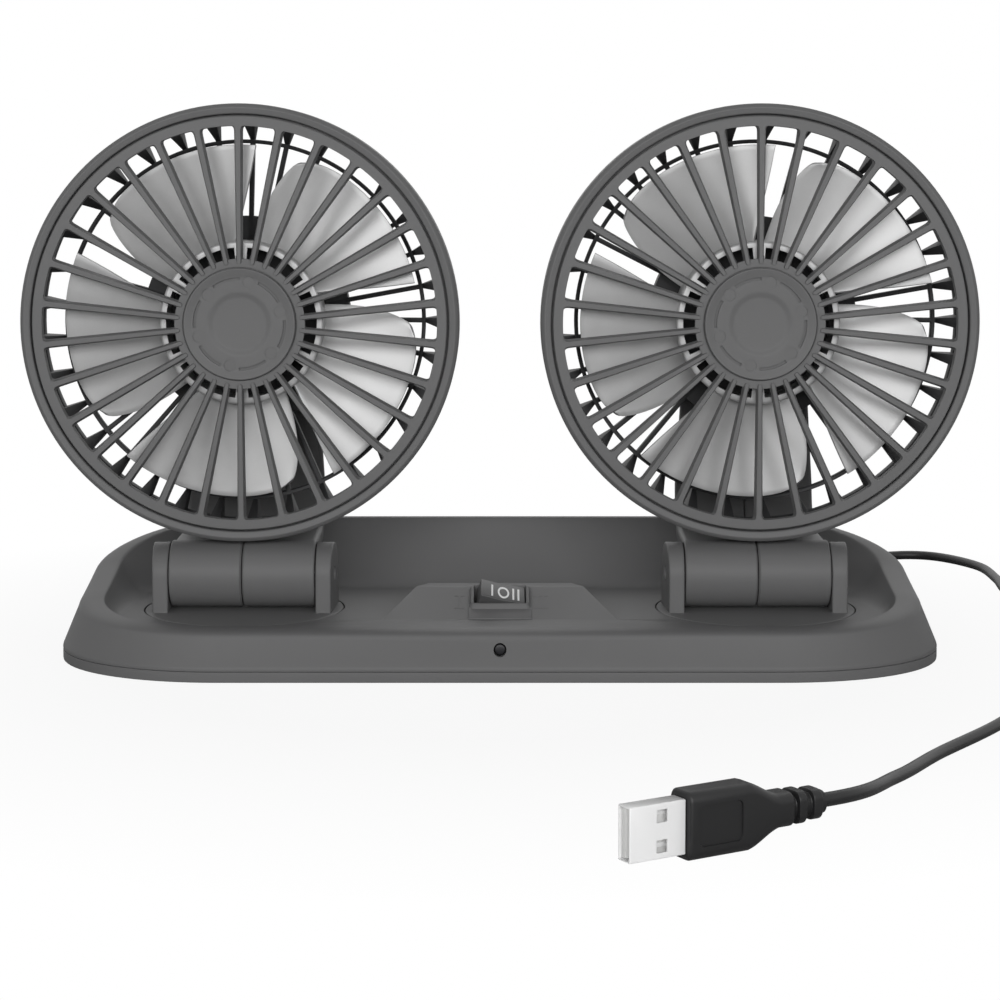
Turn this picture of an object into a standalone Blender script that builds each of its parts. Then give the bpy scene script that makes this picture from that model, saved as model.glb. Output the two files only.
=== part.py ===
"""Dual head car fan: two tilting, swivelling fan heads on one long base, with a USB lead.

The long base lies along X, the fans blow towards -Y and +Z is up. The origin is on the table, under
the middle of the base. Each head hangs on a chain of empties: swivel axis, tilt axis, spin axis.
"""
import math

import bmesh
import bpy
from mathutils import Matrix, Vector

MM = 0.001

# Clearances
CLEARANCE = 0.3 * MM
OVERRUN = 1.0 * MM
MERGE = 0.001 * MM

# Base housing
BASE_WIDTH = 262.0 * MM
BASE_DEPTH = 108.0 * MM
CORNER_LENGTH = 50.0 * MM
CORNER_DEPTH = 41.0 * MM
BASE_WALL = 2.2 * MM
DISH_HEIGHT = 14.0 * MM
FRONT_LIP = 0.6 * MM
BACK_WALL_RISE = 20.0 * MM
RISE_EXPONENT = 1.6
LIP_INSET = 10.5 * MM
BACK_LIP_EXTRA_INSET = 1.5 * MM
LIP_FLAT = 1.5 * MM
SHOULDER_RUN = 6.0 * MM
SHOULDER_DROP = 2.2 * MM
SHOULDER_ANGLES = (0, 45, 90)
DISH_RUN = 2.0 * MM
DISH_RUN_PER_RISE_SHARE = 0.82
DISH_SHARES = (0.25, 0.55, 1.0)
CAVITY_SHARES = (0.35, 1.0)
COVER_THICKNESS = 2.4 * MM
COVER_BEVEL = 1.2 * MM
FOOT_STAND = 0.8 * MM
FOOT_SINK = 1.0 * MM
FOOT_RADIUS = 6.0 * MM
FOOT_INSET = 17.0 * MM
SCREW_HEAD_RADIUS = 2.4 * MM
SCREW_HEAD_HEIGHT = 1.3 * MM
SCREW_RADIUS = 1.1 * MM
SCREW_LENGTH = 9.0 * MM
SCREW_BOSS_RADIUS = 3.2 * MM
SCREW_SPREAD = 40.0 * MM
SCREW_BACK = 14.0 * MM
SCREW_FRONT = 37.0 * MM

# Control panel and rocker switch
PANEL_FRONT_WIDTH = 70.0 * MM
PANEL_TOP_WIDTH = 51.0 * MM
PANEL_BACK_WIDTH = 43.6 * MM
PANEL_TOP_DEPTH = 6.0 * MM
PANEL_FRONT_FROM_EDGE = 24.5 * MM
PANEL_LENGTH = 18.0 * MM
PANEL_RISE = 6.8 * MM
PANEL_BACK_SLOPE = 2.0 * MM
PAD_WIDTH = 18.8 * MM
PAD_RISE = 0.4 * MM
BEZEL_WIDTH = 18.4 * MM
BEZEL_DEPTH = 12.6 * MM
BEZEL_HEIGHT = 1.8 * MM
BEZEL_CORNER = 1.6 * MM
BEZEL_DRAFT = 0.5 * MM
BEZEL_TOP_MARGIN = 1.4 * MM
SWITCH_BODY_WIDTH = 16.2 * MM
SWITCH_BODY_DEPTH = 10.6 * MM
SWITCH_BODY_HEIGHT = 9.0 * MM
ROCKER_WIDTH = 14.4 * MM
ROCKER_DEPTH = 9.4 * MM
ROCKER_PIVOT_DROP = 1.2 * MM
ROCKER_BOTTOM = 3.4 * MM
ROCKER_RISE = 4.2 * MM
ROCKER_DRAFT = 0.5 * MM
ROCKER_V_ANGLE = 3.0
ROCKER_ANGLE = 13.0
WELL_DEPTH = 7.0 * MM
WELL_SWING_GAP = 0.5 * MM
BOARD_WIDTH = 44.0 * MM
BOARD_DEPTH = 16.0 * MM
BOARD_THICKNESS = 1.6 * MM
BOARD_FRONT_GAP = 5.0 * MM

# Indicator light in the front wall
LIGHT_HEIGHT = 9.3 * MM
LIGHT_RADIUS = 1.5 * MM
LIGHT_HOLE_RADIUS = 1.85 * MM
LIGHT_LENGTH = 5.4 * MM
LIGHT_FLANGE_RADIUS = 1.9 * MM
LIGHT_FLANGE = 1.0 * MM
LIGHT_SINK = 0.3 * MM
LEG_WIDTH = 0.6 * MM
LEG_SPREAD = 1.27 * MM
LEG_FOOT_SHARE = 0.9

# Turntables
HEAD_SPACING = 154.1 * MM
SWIVEL_BACK = -10.0 * MM
TURNTABLE_RADIUS = 29.8 * MM
TURNTABLE_THICKNESS = 2.3 * MM
WELL_FLOOR = 2.7 * MM
WELL_RIM = 2.5 * MM
NECK_RADIUS = 20.0 * MM
NECK_GROOVE = 2.0 * MM
NECK_END = 1.6 * MM
CLIP_THICKNESS = 1.6 * MM
CLIP_WIDTH = 6.2 * MM
CLIP_MOUTH = 8.0 * MM

# Hinge and arm
AXIS_RISE = 10.5 * MM
BARREL_RADIUS = 10.0 * MM
BARREL_LENGTH = 43.4 * MM
SEAM_GROOVE = 0.5 * MM
EAR_THICKNESS = 5.2 * MM
EAR_RADIUS = 9.4 * MM
EAR_FLARE = 1.2 * MM
PIN_RADIUS = 2.0 * MM
ARM_THICKNESS = 5.6 * MM
ARM_TOP_BELOW_BARREL = 0.3 * MM
ARM_BEND_RADIUS = 12.0 * MM
ARM_BEND_ANGLES = (30, 60, 90)
ARM_LOW_HALF_WIDTH = 21.6 * MM
ARM_MIDDLE_HALF_WIDTH = 20.0 * MM
ARM_TOP_HALF_WIDTH = 15.0 * MM
ARM_TIP_ANGLES = (30, 60, 80)
ARM_EDGE = 1.6 * MM
ARM_EDGE_SHARE = 0.33

# Head
HEAD_DIAMETER = 130.0 * MM
HEAD_RISE = 75.8 * MM
RING_FORWARD = 9.0 * MM
RING_DEPTH = 12.0 * MM
RING_WALL = 3.05 * MM
RING_ROUND = 1.2 * MM
RING_LEDGE = 1.8 * MM
RING_LEDGE_DEPTH = 1.5 * MM
GRILLE_SINK = 0.3 * MM
GRILLE_THICKNESS = 2.6 * MM
GRILLE_BAND = 3.35 * MM
GRILLE_RIBS = 30
RIB_OUTER_WIDTH = 2.2 * MM
RIB_INNER_WIDTH = 1.35 * MM
HUB_RADIUS = 19.0 * MM
CAP_RADIUS = 16.6 * MM
CAP_THICKNESS = 1.9 * MM
CAP_SEAT = 1.3 * MM
CAP_RIM = 0.3 * MM
CAP_SLOPE_FOOT = 14.0 * MM
CAP_PLATE_RADIUS = 13.7 * MM
CAP_ARC_WIDTH = 0.8 * MM
CAP_ARCS = 6
CAP_ARC_ANGLE = 36.0
CAP_ARC_START = 28.9
CAP_ARC_DEPTH = 0.3 * MM
CAP_RECESS = 0.9 * MM
CAP_DISH_RADIUS = 9.4 * MM
CAP_DISH_SLOPE = 1.5 * MM
CAP_DISH_DEPTH = 0.4 * MM

# Rear guard
GUARD_RIBS = 33
GUARD_RIB_WIDTH = 1.2 * MM
GUARD_RIM_WIDTH = 4.8 * MM
GUARD_RIM_DEPTH = 1.8 * MM
GUARD_RIM_SLOPE = 2.7 * MM
GUARD_FIN_FRONT = 3.4 * MM
GUARD_SLOT = 5.3 * MM
GUARD_RING_WIDTH = 1.2 * MM
GUARD_RING_BACK = 18.0 * MM
GUARD_RIB_DEPTH = 2.5 * MM
GUARD_HUB_RADIUS = 31.5 * MM
GUARD_HUB_BACK = 22.5 * MM

# Motor and impeller
MOTOR_RADIUS = 12.5 * MM
MOTOR_FRONT_BACK = 20.5 * MM
MOTOR_LENGTH = 22.0 * MM
COVER_DEPTH = 19.7 * MM
MOTOR_COVER_RIM = 2.7 * MM
MOTOR_COVER_BACK_RADIUS = 19.0 * MM
MOTOR_COVER_ANGLES = (30, 60)
MOTOR_COVER_WALL = 2.0 * MM
SHAFT_RADIUS = 1.0 * MM
SHAFT_IN_MOTOR = 12.0 * MM
IMPELLER_BACK = 6.0 * MM
IMPELLER_HUB_RADIUS = 24.4 * MM
IMPELLER_HUB_DEPTH = 14.0 * MM
IMPELLER_WALL = 1.6 * MM
IMPELLER_BOSS_RADIUS = 4.0 * MM
BLADES = 5
BLADE_TIP_RADIUS = 53.0 * MM
BLADE_THICKNESS = 1.2 * MM
BLADE_TIP_DEPTH = 7.0 * MM
BLADE_ROOT_DEPTH = 12.0 * MM
BLADE_TIP_CENTRE = 114.1
BLADE_ROOT_CENTRE = 128.7
BLADE_TIP_SPAN = 56.0
BLADE_ROOT_SPAN = 54.5
BLADE_SKEW_POWER = 1.3
BLADE_CORNER_POWER = 4
BLADE_RADIAL_SHARES = (0.0, 0.33, 0.68, 1.0)
BLADE_CHORD_SHARES = (0.0, 0.25, 0.5, 0.75, 1.0)
BLADE_TIP_ROUND_SHARE = 0.10
BLADE_CAMBER_SHARE = 0.12

# USB lead
CORD_DIAMETER = 3.2 * MM
CORD_EXIT_SIDE = 79.0 * MM
CORD_EXIT_HEIGHT = 9.0 * MM
GLAND_HOLE_RADIUS = 3.2 * MM
GLAND_LENGTH = 14.0 * MM
GLAND_TIP_RADIUS = 2.3 * MM
GLAND_FLANGE_RADIUS = 4.4 * MM
GLAND_FLANGE = 1.4 * MM
GLAND_RINGS = 3
GLAND_RING_GROOVE = 0.6 * MM
GLAND_BOOT_RADIUS = 4.0 * MM
CORD_POINT_DIAMETERS = 3.0
CORD_LEAD_ROUTE = ((0.0800, 0.0800, 0.0066), (0.0850, 0.1010, 0.0018), (0.1070, 0.1350, 0.0016),
                   (0.1400, 0.1600, 0.0016), (0.1600, 0.1620, 0.0016), (0.1735, 0.1400, 0.0016),
                   (0.1750, 0.1130, 0.0016), (0.1735, 0.0880, 0.0016), (0.1765, 0.0680, 0.0019))
CORD_TAIL_ROUTE = ((0.1770, 0.0065, 0.0046), (0.1660, -0.0080, 0.0022), (0.1600, -0.0320, 0.0016),
                   (0.1530, -0.0680, 0.0016), (0.1310, -0.1090, 0.0016), (0.1090, -0.1420, 0.0018),
                   (0.0930, -0.1740, 0.0040))
TIE_THICKNESS = 0.9 * MM
TIE_WIDTH = 3.0 * MM
COIL_CENTRE_SIDE = 194.0 * MM
COIL_CENTRE_BACK = 34.0 * MM
COIL_TURNS_PER_LAYER = 2.75
COIL_INNER_RADIUS = 12.5 * MM
COIL_STEP = 3.75 * MM
COIL_LAYER = 3.75 * MM
COIL_POINTS_PER_TURN = 24
COIL_START_ANGLE = 90.0
COIL_CLIMB_TURNS = 0.5
TIE_ROOM = 0.6 * MM

# Plug on its narrow edge
PLUG_TIP_SIDE = 26.0 * MM
PLUG_TIP_FRONT = -235.0 * MM
PLUG_ANGLE = 211.0
PLUG_HEIGHT = 15.0 * MM
PLUG_THICKNESS = 8.0 * MM
PLUG_CORNER = 2.2 * MM
PLUG_EDGE = 1.2 * MM
PLUG_ROUND_SHARE = 0.48
PLUG_BODY_LENGTH = 14.0 * MM
PLUG_TAPER_LENGTH = 10.0 * MM
PLUG_RELIEF_LENGTH = 16.0 * MM
PLUG_RELIEF_RADIUS = 2.6 * MM
PLUG_RELIEF_GROOVE = 0.5 * MM
PLUG_RELIEF_RINGS = 3
SHELL_LENGTH = 12.0 * MM
SHELL_WIDTH = 12.0 * MM
SHELL_THICKNESS = 4.5 * MM
SHELL_WALL = 0.35 * MM
SHELL_WINDOW = 2.4 * MM
SHELL_WINDOW_SPREAD = 5.4 * MM
SHELL_WINDOW_BACK = 5.0 * MM
TONGUE_THICKNESS = 1.7 * MM
TONGUE_SINK = 0.5 * MM

# Facet counts
CORNER_STEPS = 7
SIDE_STEPS = 3
RING_STEPS = 36
WELL_STEPS = 24
SMALL_STEPS = 10
TINY_STEPS = 8
HIDDEN_STEPS = 18
MIDDLE_STEPS = 24
CAP_STEPS = 20
ARC_STEPS = 2
EAR_STEPS = 6
CURVE_STEPS = 24
BEZEL_STEPS = 2
PLUG_STEPS = 2
CORD_ROUNDNESS = 2
COIL_ROUNDNESS = 1
SHARP_ANGLE = 35.0

# Places that follow from the sizes above
PART_LINE = FOOT_STAND + COVER_THICKNESS + CLEARANCE
HEAD_RADIUS = HEAD_DIAMETER / 2
GRILLE_RADIUS = HEAD_RADIUS - RING_WALL - CLEARANCE
GUARD_RING_RADIUS = HEAD_RADIUS - CLEARANCE - GUARD_RIM_WIDTH - GUARD_SLOT - GUARD_RING_WIDTH / 2
HUB_CLEAR_RADIUS = CAP_RADIUS + CLEARANCE
COVER_FRONT = GUARD_HUB_BACK + GUARD_RIB_DEPTH + CLEARANCE
COVER_BACK = COVER_FRONT + COVER_DEPTH
ARM_REACH = COVER_BACK - RING_FORWARD + CLEARANCE
COLOURS = {
    "grey": ((0.135, 0.135, 0.135), 0.42, 0.0),
    "dark": ((0.022, 0.022, 0.023), 0.5, 0.0),
    "blade": ((0.40, 0.40, 0.40), 0.38, 0.55),
    "rubber": ((0.02, 0.02, 0.02), 0.8, 0.0),
    "steel": ((0.62, 0.62, 0.64), 0.25, 1.0),
    "board": ((0.02, 0.14, 0.06), 0.5, 0.0),
    "smoke": ((0.03, 0.03, 0.035), 0.2, 0.0),
    "white": ((0.8, 0.8, 0.8), 0.4, 0.0),
}


def clear_scene():
    """Start from an empty scene."""
    for thing in list(bpy.data.objects):
        bpy.data.objects.remove(thing, do_unlink=True)


def material_for(name, finish):
    """Make the sub-part's own plastic, metal or rubber."""
    colour, roughness, metallic = COLOURS[finish]
    skin = bpy.data.materials.new(name + "_" + finish)
    skin.use_nodes = True
    shader = skin.node_tree.nodes["Principled BSDF"]
    shader.inputs["Base Color"].default_value = (*colour, 1.0)
    shader.inputs["Roughness"].default_value = roughness
    shader.inputs["Metallic"].default_value = metallic
    return skin


def empty_axis(name, place, parent=None):
    """Mark a joint's axis with an empty that carries what turns there."""
    axis = bpy.data.objects.new(name, None)
    bpy.context.collection.objects.link(axis)
    axis.parent = parent
    axis.location = place
    return axis


def place_mesh(name, mesh, finish, parent=None, place=(0, 0, 0)):
    """Put a mesh in the scene as one named sub-part."""
    part = bpy.data.objects.new(name, mesh)
    bpy.context.collection.objects.link(part)
    part.parent = parent
    part.location = place
    if not mesh.materials:
        mesh.materials.append(material_for(name, finish))
    return part


def finished_mesh(bm, name):
    """Turn a bmesh into a smooth shaded mesh with its faces pointing out."""
    bmesh.ops.remove_doubles(bm, verts=bm.verts, dist=MERGE)
    bmesh.ops.recalc_face_normals(bm, faces=bm.faces)
    mesh = bpy.data.meshes.new(name)
    bm.to_mesh(mesh)
    bm.free()
    mesh.shade_smooth()
    mesh.set_sharp_from_angle(angle=math.radians(SHARP_ANGLE))
    return mesh


def turned_mesh(name, profile, steps, axis="Y", ring=False):
    """Turn a profile of (radius, place along the axis) points about the axis."""
    bm = bmesh.new()
    points = []
    for radius, along in profile:
        spot = {"X": (along, radius, 0), "Y": (radius, along, 0), "Z": (radius, 0, along)}[axis]
        points.append(bm.verts.new(spot))
    count = len(points)
    last = count if ring else count - 1
    edges = []
    for index in range(last):
        edges.append(bm.edges.new((points[index], points[(index + 1) % count])))
    direction = {"X": (1, 0, 0), "Y": (0, 1, 0), "Z": (0, 0, 1)}[axis]
    bmesh.ops.spin(bm, geom=points + edges, cent=(0, 0, 0), axis=direction,
                   angle=math.tau, steps=steps, use_merge=True)
    return finished_mesh(bm, name)


def lofted_mesh(name, rings):
    """Skin a row of closed outlines of equal count and cap both ends."""
    bm = bmesh.new()
    rows = []
    for ring in rings:
        rows.append([bm.verts.new(point) for point in ring])
    count = len(rows[0])
    for lower, upper in zip(rows, rows[1:]):
        for index in range(count):
            after = (index + 1) % count
            bm.faces.new((lower[index], lower[after], upper[after], upper[index]))
    bm.faces.new(rows[0])
    bm.faces.new(rows[-1])
    return finished_mesh(bm, name)


def combine(mesh, tool, operation):
    """Cut a tool mesh from a mesh, or join it on, and return the new mesh."""
    body = bpy.data.objects.new("body", mesh)
    other = bpy.data.objects.new("tool", tool)
    for thing in (body, other):
        bpy.context.collection.objects.link(thing)
    change = body.modifiers.new("change", "BOOLEAN")
    change.operation = operation
    change.solver = "EXACT"
    change.object = other
    graph = bpy.context.evaluated_depsgraph_get()
    result = bpy.data.meshes.new_from_object(body.evaluated_get(graph), depsgraph=graph)
    result.name = mesh.name
    for thing in (body, other):
        bpy.data.objects.remove(thing, do_unlink=True)
    result.shade_smooth()
    result.set_sharp_from_angle(angle=math.radians(SHARP_ANGLE))
    return result


def cut(mesh, tool):
    """Take the tool's shape out of the mesh."""
    return combine(mesh, tool, "DIFFERENCE")


def join(mesh, tool):
    """Fuse the tool's shape to the mesh."""
    return combine(mesh, tool, "UNION")


def drill(mesh, profile, steps, axis="Y", place=Matrix()):
    """Cut a turned tool out of the mesh, its facets half a step round from those of other pieces."""
    tool = turned_mesh("tool", profile, steps, axis)
    return cut(mesh, moved(tool, place @ Matrix.Rotation(math.pi / steps, 4, axis)))


def moved(mesh, matrix):
    """Return the mesh, moved by a matrix."""
    mesh.transform(matrix)
    return mesh


def box_mesh(name, width, depth, height, centre=(0, 0, 0)):
    """Make a block about its centre."""
    bm = bmesh.new()
    size = Matrix.Diagonal((width, depth, height, 1))
    bmesh.ops.create_cube(bm, size=1, matrix=Matrix.Translation(centre) @ size)
    return finished_mesh(bm, name)


def arc_points(radius, start, end, steps):
    """Give points on an arc about the origin, with both ends."""
    points = []
    for step in range(steps + 1):
        angle = math.radians(start + (end - start) * step / steps)
        points.append((radius * math.cos(angle), radius * math.sin(angle)))
    return points


def rounded_outline(width, depth, corner, steps):
    """Give a rectangle with round corners as (x, y) points."""
    outline = []
    for quarter, (side, end) in enumerate(((1, 1), (-1, 1), (-1, -1), (1, -1))):
        centre_x = side * (width / 2 - corner)
        centre_y = end * (depth / 2 - corner)
        for x, y in arc_points(corner, 90 * quarter, 90 * quarter + 90, steps):
            outline.append((centre_x + x, centre_y + y))
    return outline


def prism_mesh(name, outline, low, high):
    """Stand an outline of (x, y) points up between two heights."""
    rings = [[(x, y, height) for x, y in outline] for height in (low, high)]
    return lofted_mesh(name, rings)


# Base housing
def base_stations():
    """Walk round the plan: a corner centre and the direction out of it at each station."""
    centre_x = BASE_WIDTH / 2 - CORNER_LENGTH
    centre_y = BASE_DEPTH / 2 - CORNER_DEPTH
    stations = []
    for quarter, (side, end) in enumerate(((1, 1), (-1, 1), (-1, -1), (1, -1))):
        for step in range(CORNER_STEPS + 1):
            angle = math.radians(90 * (quarter + step / CORNER_STEPS))
            stations.append((side * centre_x, end * centre_y, math.cos(angle), math.sin(angle)))
        if end == (1 if side < 0 else -1):
            for step in range(1, SIDE_STEPS):
                share = 1 - 2 * step / SIDE_STEPS
                out = -1 if side < 0 else 1
                stations.append((side * centre_x, end * centre_y * share, out, 0))
    return stations


def base_point(station, inset, height):
    """Give the point of a station at a distance in from the bottom outline."""
    centre_x, centre_y, out_x, out_y = station
    x = centre_x + out_x * (CORNER_LENGTH - inset)
    y = centre_y + out_y * (CORNER_DEPTH - inset)
    return (x, y, height)


def wall_form(station):
    """Give the rise of the wall above the dish, and the lip's inset, at a station."""
    back = base_point(station, 0, 0)[1]
    share = (back / BASE_DEPTH + 0.5) ** RISE_EXPONENT
    rise = FRONT_LIP + (BACK_WALL_RISE - FRONT_LIP) * share
    return rise, LIP_INSET + BACK_LIP_EXTRA_INSET * share


def dish_curve(rise, inset, share):
    """Give the inset and height on the inner wall, and its slope, at a share of its run."""
    run = DISH_RUN + DISH_RUN_PER_RISE_SHARE * rise
    along = inset + LIP_FLAT + run * share
    height = DISH_HEIGHT + rise * (1 - share) ** 2
    slope = math.atan2(2 * rise * (1 - share), run)
    return along, height, slope


def shell_section(station):
    """Give the outer section of the shell at a station, from its foot to the dish."""
    rise, inset = wall_form(station)
    top = DISH_HEIGHT + rise
    section = [(0, PART_LINE)]
    for angle in SHOULDER_ANGLES:
        turn = math.radians(angle)
        run = inset - SHOULDER_RUN * math.cos(turn)
        section.append((run, top - SHOULDER_DROP * (1 - math.sin(turn))))
    section.append((inset + LIP_FLAT, top))
    for share in DISH_SHARES:
        along, height, slope = dish_curve(rise, inset, share)
        section.append((along, height))
    return section


def cavity_section(station):
    """Give the inner section of the shell, one wall inside the outer one."""
    rise, inset = wall_form(station)
    top = DISH_HEIGHT + rise
    shoulder = inset - SHOULDER_RUN
    section = [(BASE_WALL, PART_LINE - OVERRUN)]
    section.append((shoulder + BASE_WALL, top - SHOULDER_DROP - BASE_WALL / 2))
    section.append((inset + LIP_FLAT / 2, top - BASE_WALL))
    for share in CAVITY_SHARES:
        along, height, slope = dish_curve(rise, inset, share)
        along -= BASE_WALL * math.sin(slope)
        section.append((along, height - BASE_WALL * math.cos(slope)))
    return section


def sections_mesh(name, section_for):
    """Skin the sections of all stations into one closed form."""
    stations = base_stations()
    sections = [section_for(station) for station in stations]
    rings = []
    for level in range(len(sections[0])):
        ring = []
        for station, section in zip(stations, sections):
            ring.append(base_point(station, *section[level]))
        rings.append(ring)
    return lofted_mesh(name, rings)


def panel_frame():
    """Give the matrix of the panel's face: X along the base, Y up the slope, Z out of it."""
    front = -BASE_DEPTH / 2 + PANEL_FRONT_FROM_EDGE
    slope = math.atan2(PANEL_RISE, PANEL_LENGTH)
    length = math.hypot(PANEL_RISE, PANEL_LENGTH)
    along = length - BEZEL_TOP_MARGIN - BEZEL_DEPTH / 2
    y = front + along * math.cos(slope)
    z = DISH_HEIGHT + along * math.sin(slope)
    return Matrix.Translation((0, y, z)) @ Matrix.Rotation(slope, 4, "X")


def panel_mesh():
    """Make the raised wedge that carries the switch, with its foot sunk into the dish floor."""
    front = -BASE_DEPTH / 2 + PANEL_FRONT_FROM_EDGE
    top = front + PANEL_LENGTH
    ridge_back = top + PANEL_TOP_DEPTH
    sink = BASE_WALL / 2
    run = sink * PANEL_LENGTH / PANEL_RISE
    spread = run * (PANEL_FRONT_WIDTH - PANEL_TOP_WIDTH) / PANEL_LENGTH
    corners = ((PANEL_FRONT_WIDTH + spread, front - run, -sink),
               (PANEL_TOP_WIDTH, top, PANEL_RISE),
               (PANEL_BACK_WIDTH, ridge_back, PANEL_RISE),
               (PANEL_TOP_WIDTH, ridge_back + PANEL_BACK_SLOPE, -sink))
    bm = bmesh.new()
    for width, y, rise in corners:
        for side in (-1, 1):
            bm.verts.new((side * width / 2, y, DISH_HEIGHT + rise))
    bmesh.ops.convex_hull(bm, input=bm.verts)
    return finished_mesh(bm, "panel")


def panel_pad_mesh():
    """Make the thin pad that runs from the bezel's front edge down the panel's face to its foot."""
    foot = math.hypot(PANEL_RISE, PANEL_LENGTH) - BEZEL_TOP_MARGIN - BEZEL_DEPTH / 2
    head = BEZEL_DEPTH / 2 + CLEARANCE
    pad = box_mesh("pad", PAD_WIDTH, foot - head, 2 * PAD_RISE, (0, -(foot + head) / 2, 0))
    return moved(pad, panel_frame())


def turntable_floor():
    """Give the height of the floor that a turntable turns on, and of its underside."""
    seat = DISH_HEIGHT - TURNTABLE_THICKNESS - CLEARANCE
    return seat, seat - WELL_FLOOR


def screw_places():
    """Give the four places of the cover's screws."""
    places = []
    for side in (-1, 1):
        for y in (-SCREW_FRONT, SCREW_BACK):
            places.append((side * SCREW_SPREAD, y))
    return places


def gland_frame():
    """Give the matrix of the cord's exit through the back wall, with +Y out of it."""
    station = (BASE_WIDTH / 2 - CORNER_LENGTH, BASE_DEPTH / 2 - CORNER_DEPTH)
    out = math.sqrt(1 - ((CORD_EXIT_SIDE - station[0]) / CORNER_LENGTH) ** 2)
    edge = station[1] + out * CORNER_DEPTH
    rise, inset = wall_form((station[0], station[1], 0, out))
    lean = (CORD_EXIT_HEIGHT - PART_LINE) / (DISH_HEIGHT + rise - SHOULDER_DROP - PART_LINE)
    return Matrix.Translation((CORD_EXIT_SIDE, edge - lean * (inset - SHOULDER_RUN), CORD_EXIT_HEIGHT))


def base_top_shell():
    """The moulded top: a long tray whose wall sweeps up behind the heads."""
    mesh = sections_mesh("base_top_shell", shell_section)
    mesh = join(mesh, join(panel_mesh(), panel_pad_mesh()))
    mesh = cut(mesh, sections_mesh("cavity", cavity_section))
    seat, under = turntable_floor()
    for side in (-1, 1):
        centre = Matrix.Translation((side * HEAD_SPACING / 2, SWIVEL_BACK, 0))
        well = TURNTABLE_RADIUS + CLEARANCE
        boss = [(0, under), (well + WELL_RIM, under), (well + WELL_RIM, DISH_HEIGHT - BASE_WALL / 2),
                (0, DISH_HEIGHT - BASE_WALL / 2)]
        mesh = join(mesh, moved(turned_mesh("boss", boss, MIDDLE_STEPS, "Z"), centre))
        hole = NECK_RADIUS + CLEARANCE
        stepped = [(0, under - OVERRUN), (hole, under - OVERRUN), (hole, seat), (well, seat),
                   (well, DISH_HEIGHT + OVERRUN), (0, DISH_HEIGHT + OVERRUN)]
        mesh = drill(mesh, stepped, WELL_STEPS, "Z", centre)
    for x, y in screw_places():
        low = PART_LINE
        boss = [(0, low), (SCREW_BOSS_RADIUS, low), (SCREW_BOSS_RADIUS, DISH_HEIGHT - BASE_WALL / 2),
                (0, DISH_HEIGHT - BASE_WALL / 2)]
        bore = [(0, low - OVERRUN), (SCREW_RADIUS + CLEARANCE, low - OVERRUN),
                (SCREW_RADIUS + CLEARANCE, DISH_HEIGHT - BASE_WALL), (0, DISH_HEIGHT - BASE_WALL)]
        place = Matrix.Translation((x, y, 0))
        mesh = join(mesh, moved(turned_mesh("boss", boss, TINY_STEPS, "Z"), place))
        mesh = drill(mesh, bore, TINY_STEPS, "Z", place)
    hole_width = SWITCH_BODY_WIDTH + 2 * CLEARANCE
    hole_depth = SWITCH_BODY_DEPTH + 2 * CLEARANCE
    height = 2 * SWITCH_BODY_HEIGHT
    mesh = cut(mesh, moved(box_mesh("switch_hole", hole_width, hole_depth, height), panel_frame()))
    front = -BASE_DEPTH / 2
    light = [(0, front - OVERRUN), (LIGHT_HOLE_RADIUS, front - OVERRUN),
             (LIGHT_HOLE_RADIUS, front + LIP_INSET), (0, front + LIP_INSET)]
    mesh = drill(mesh, light, SMALL_STEPS, "Y", Matrix.Translation((0, 0, LIGHT_HEIGHT)))
    gland = [(0, -LIP_INSET), (GLAND_HOLE_RADIUS, -LIP_INSET), (GLAND_HOLE_RADIUS, LIP_INSET), (0, LIP_INSET)]
    mesh = drill(mesh, gland, SMALL_STEPS, "Y", gland_frame())
    place_mesh("base_top_shell", mesh, "grey")


def foot_places():
    """Give the four places of the rubber feet."""
    places = []
    for side in (-1, 1):
        for end in (-1, 1):
            x = side * (BASE_WIDTH / 2 - CORNER_LENGTH)
            places.append((x, end * (BASE_DEPTH / 2 - FOOT_INSET)))
    return places


def base_bottom_cover():
    """The plate that closes the base, with pockets for feet and screw heads."""
    low = FOOT_STAND
    high = FOOT_STAND + COVER_THICKNESS
    section = ((COVER_BEVEL, low), (0, low + COVER_BEVEL), (0, high))
    mesh = sections_mesh("base_bottom_cover", lambda station: section)
    for x, y in foot_places():
        radius = FOOT_RADIUS + CLEARANCE
        pocket = [(0, low - OVERRUN), (radius, low - OVERRUN), (radius, low + FOOT_SINK),
                  (0, low + FOOT_SINK)]
        mesh = drill(mesh, pocket, TINY_STEPS + 2, "Z", Matrix.Translation((x, y, 0)))
    for x, y in screw_places():
        head = SCREW_HEAD_RADIUS + CLEARANCE
        shank = SCREW_RADIUS + CLEARANCE
        floor = low + SCREW_HEAD_HEIGHT
        pocket = [(0, low - OVERRUN), (head, low - OVERRUN), (head, floor), (shank, floor),
                  (shank, high + OVERRUN), (0, high + OVERRUN)]
        mesh = drill(mesh, pocket, TINY_STEPS, "Z", Matrix.Translation((x, y, 0)))
    place_mesh("base_bottom_cover", mesh, "grey")


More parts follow.
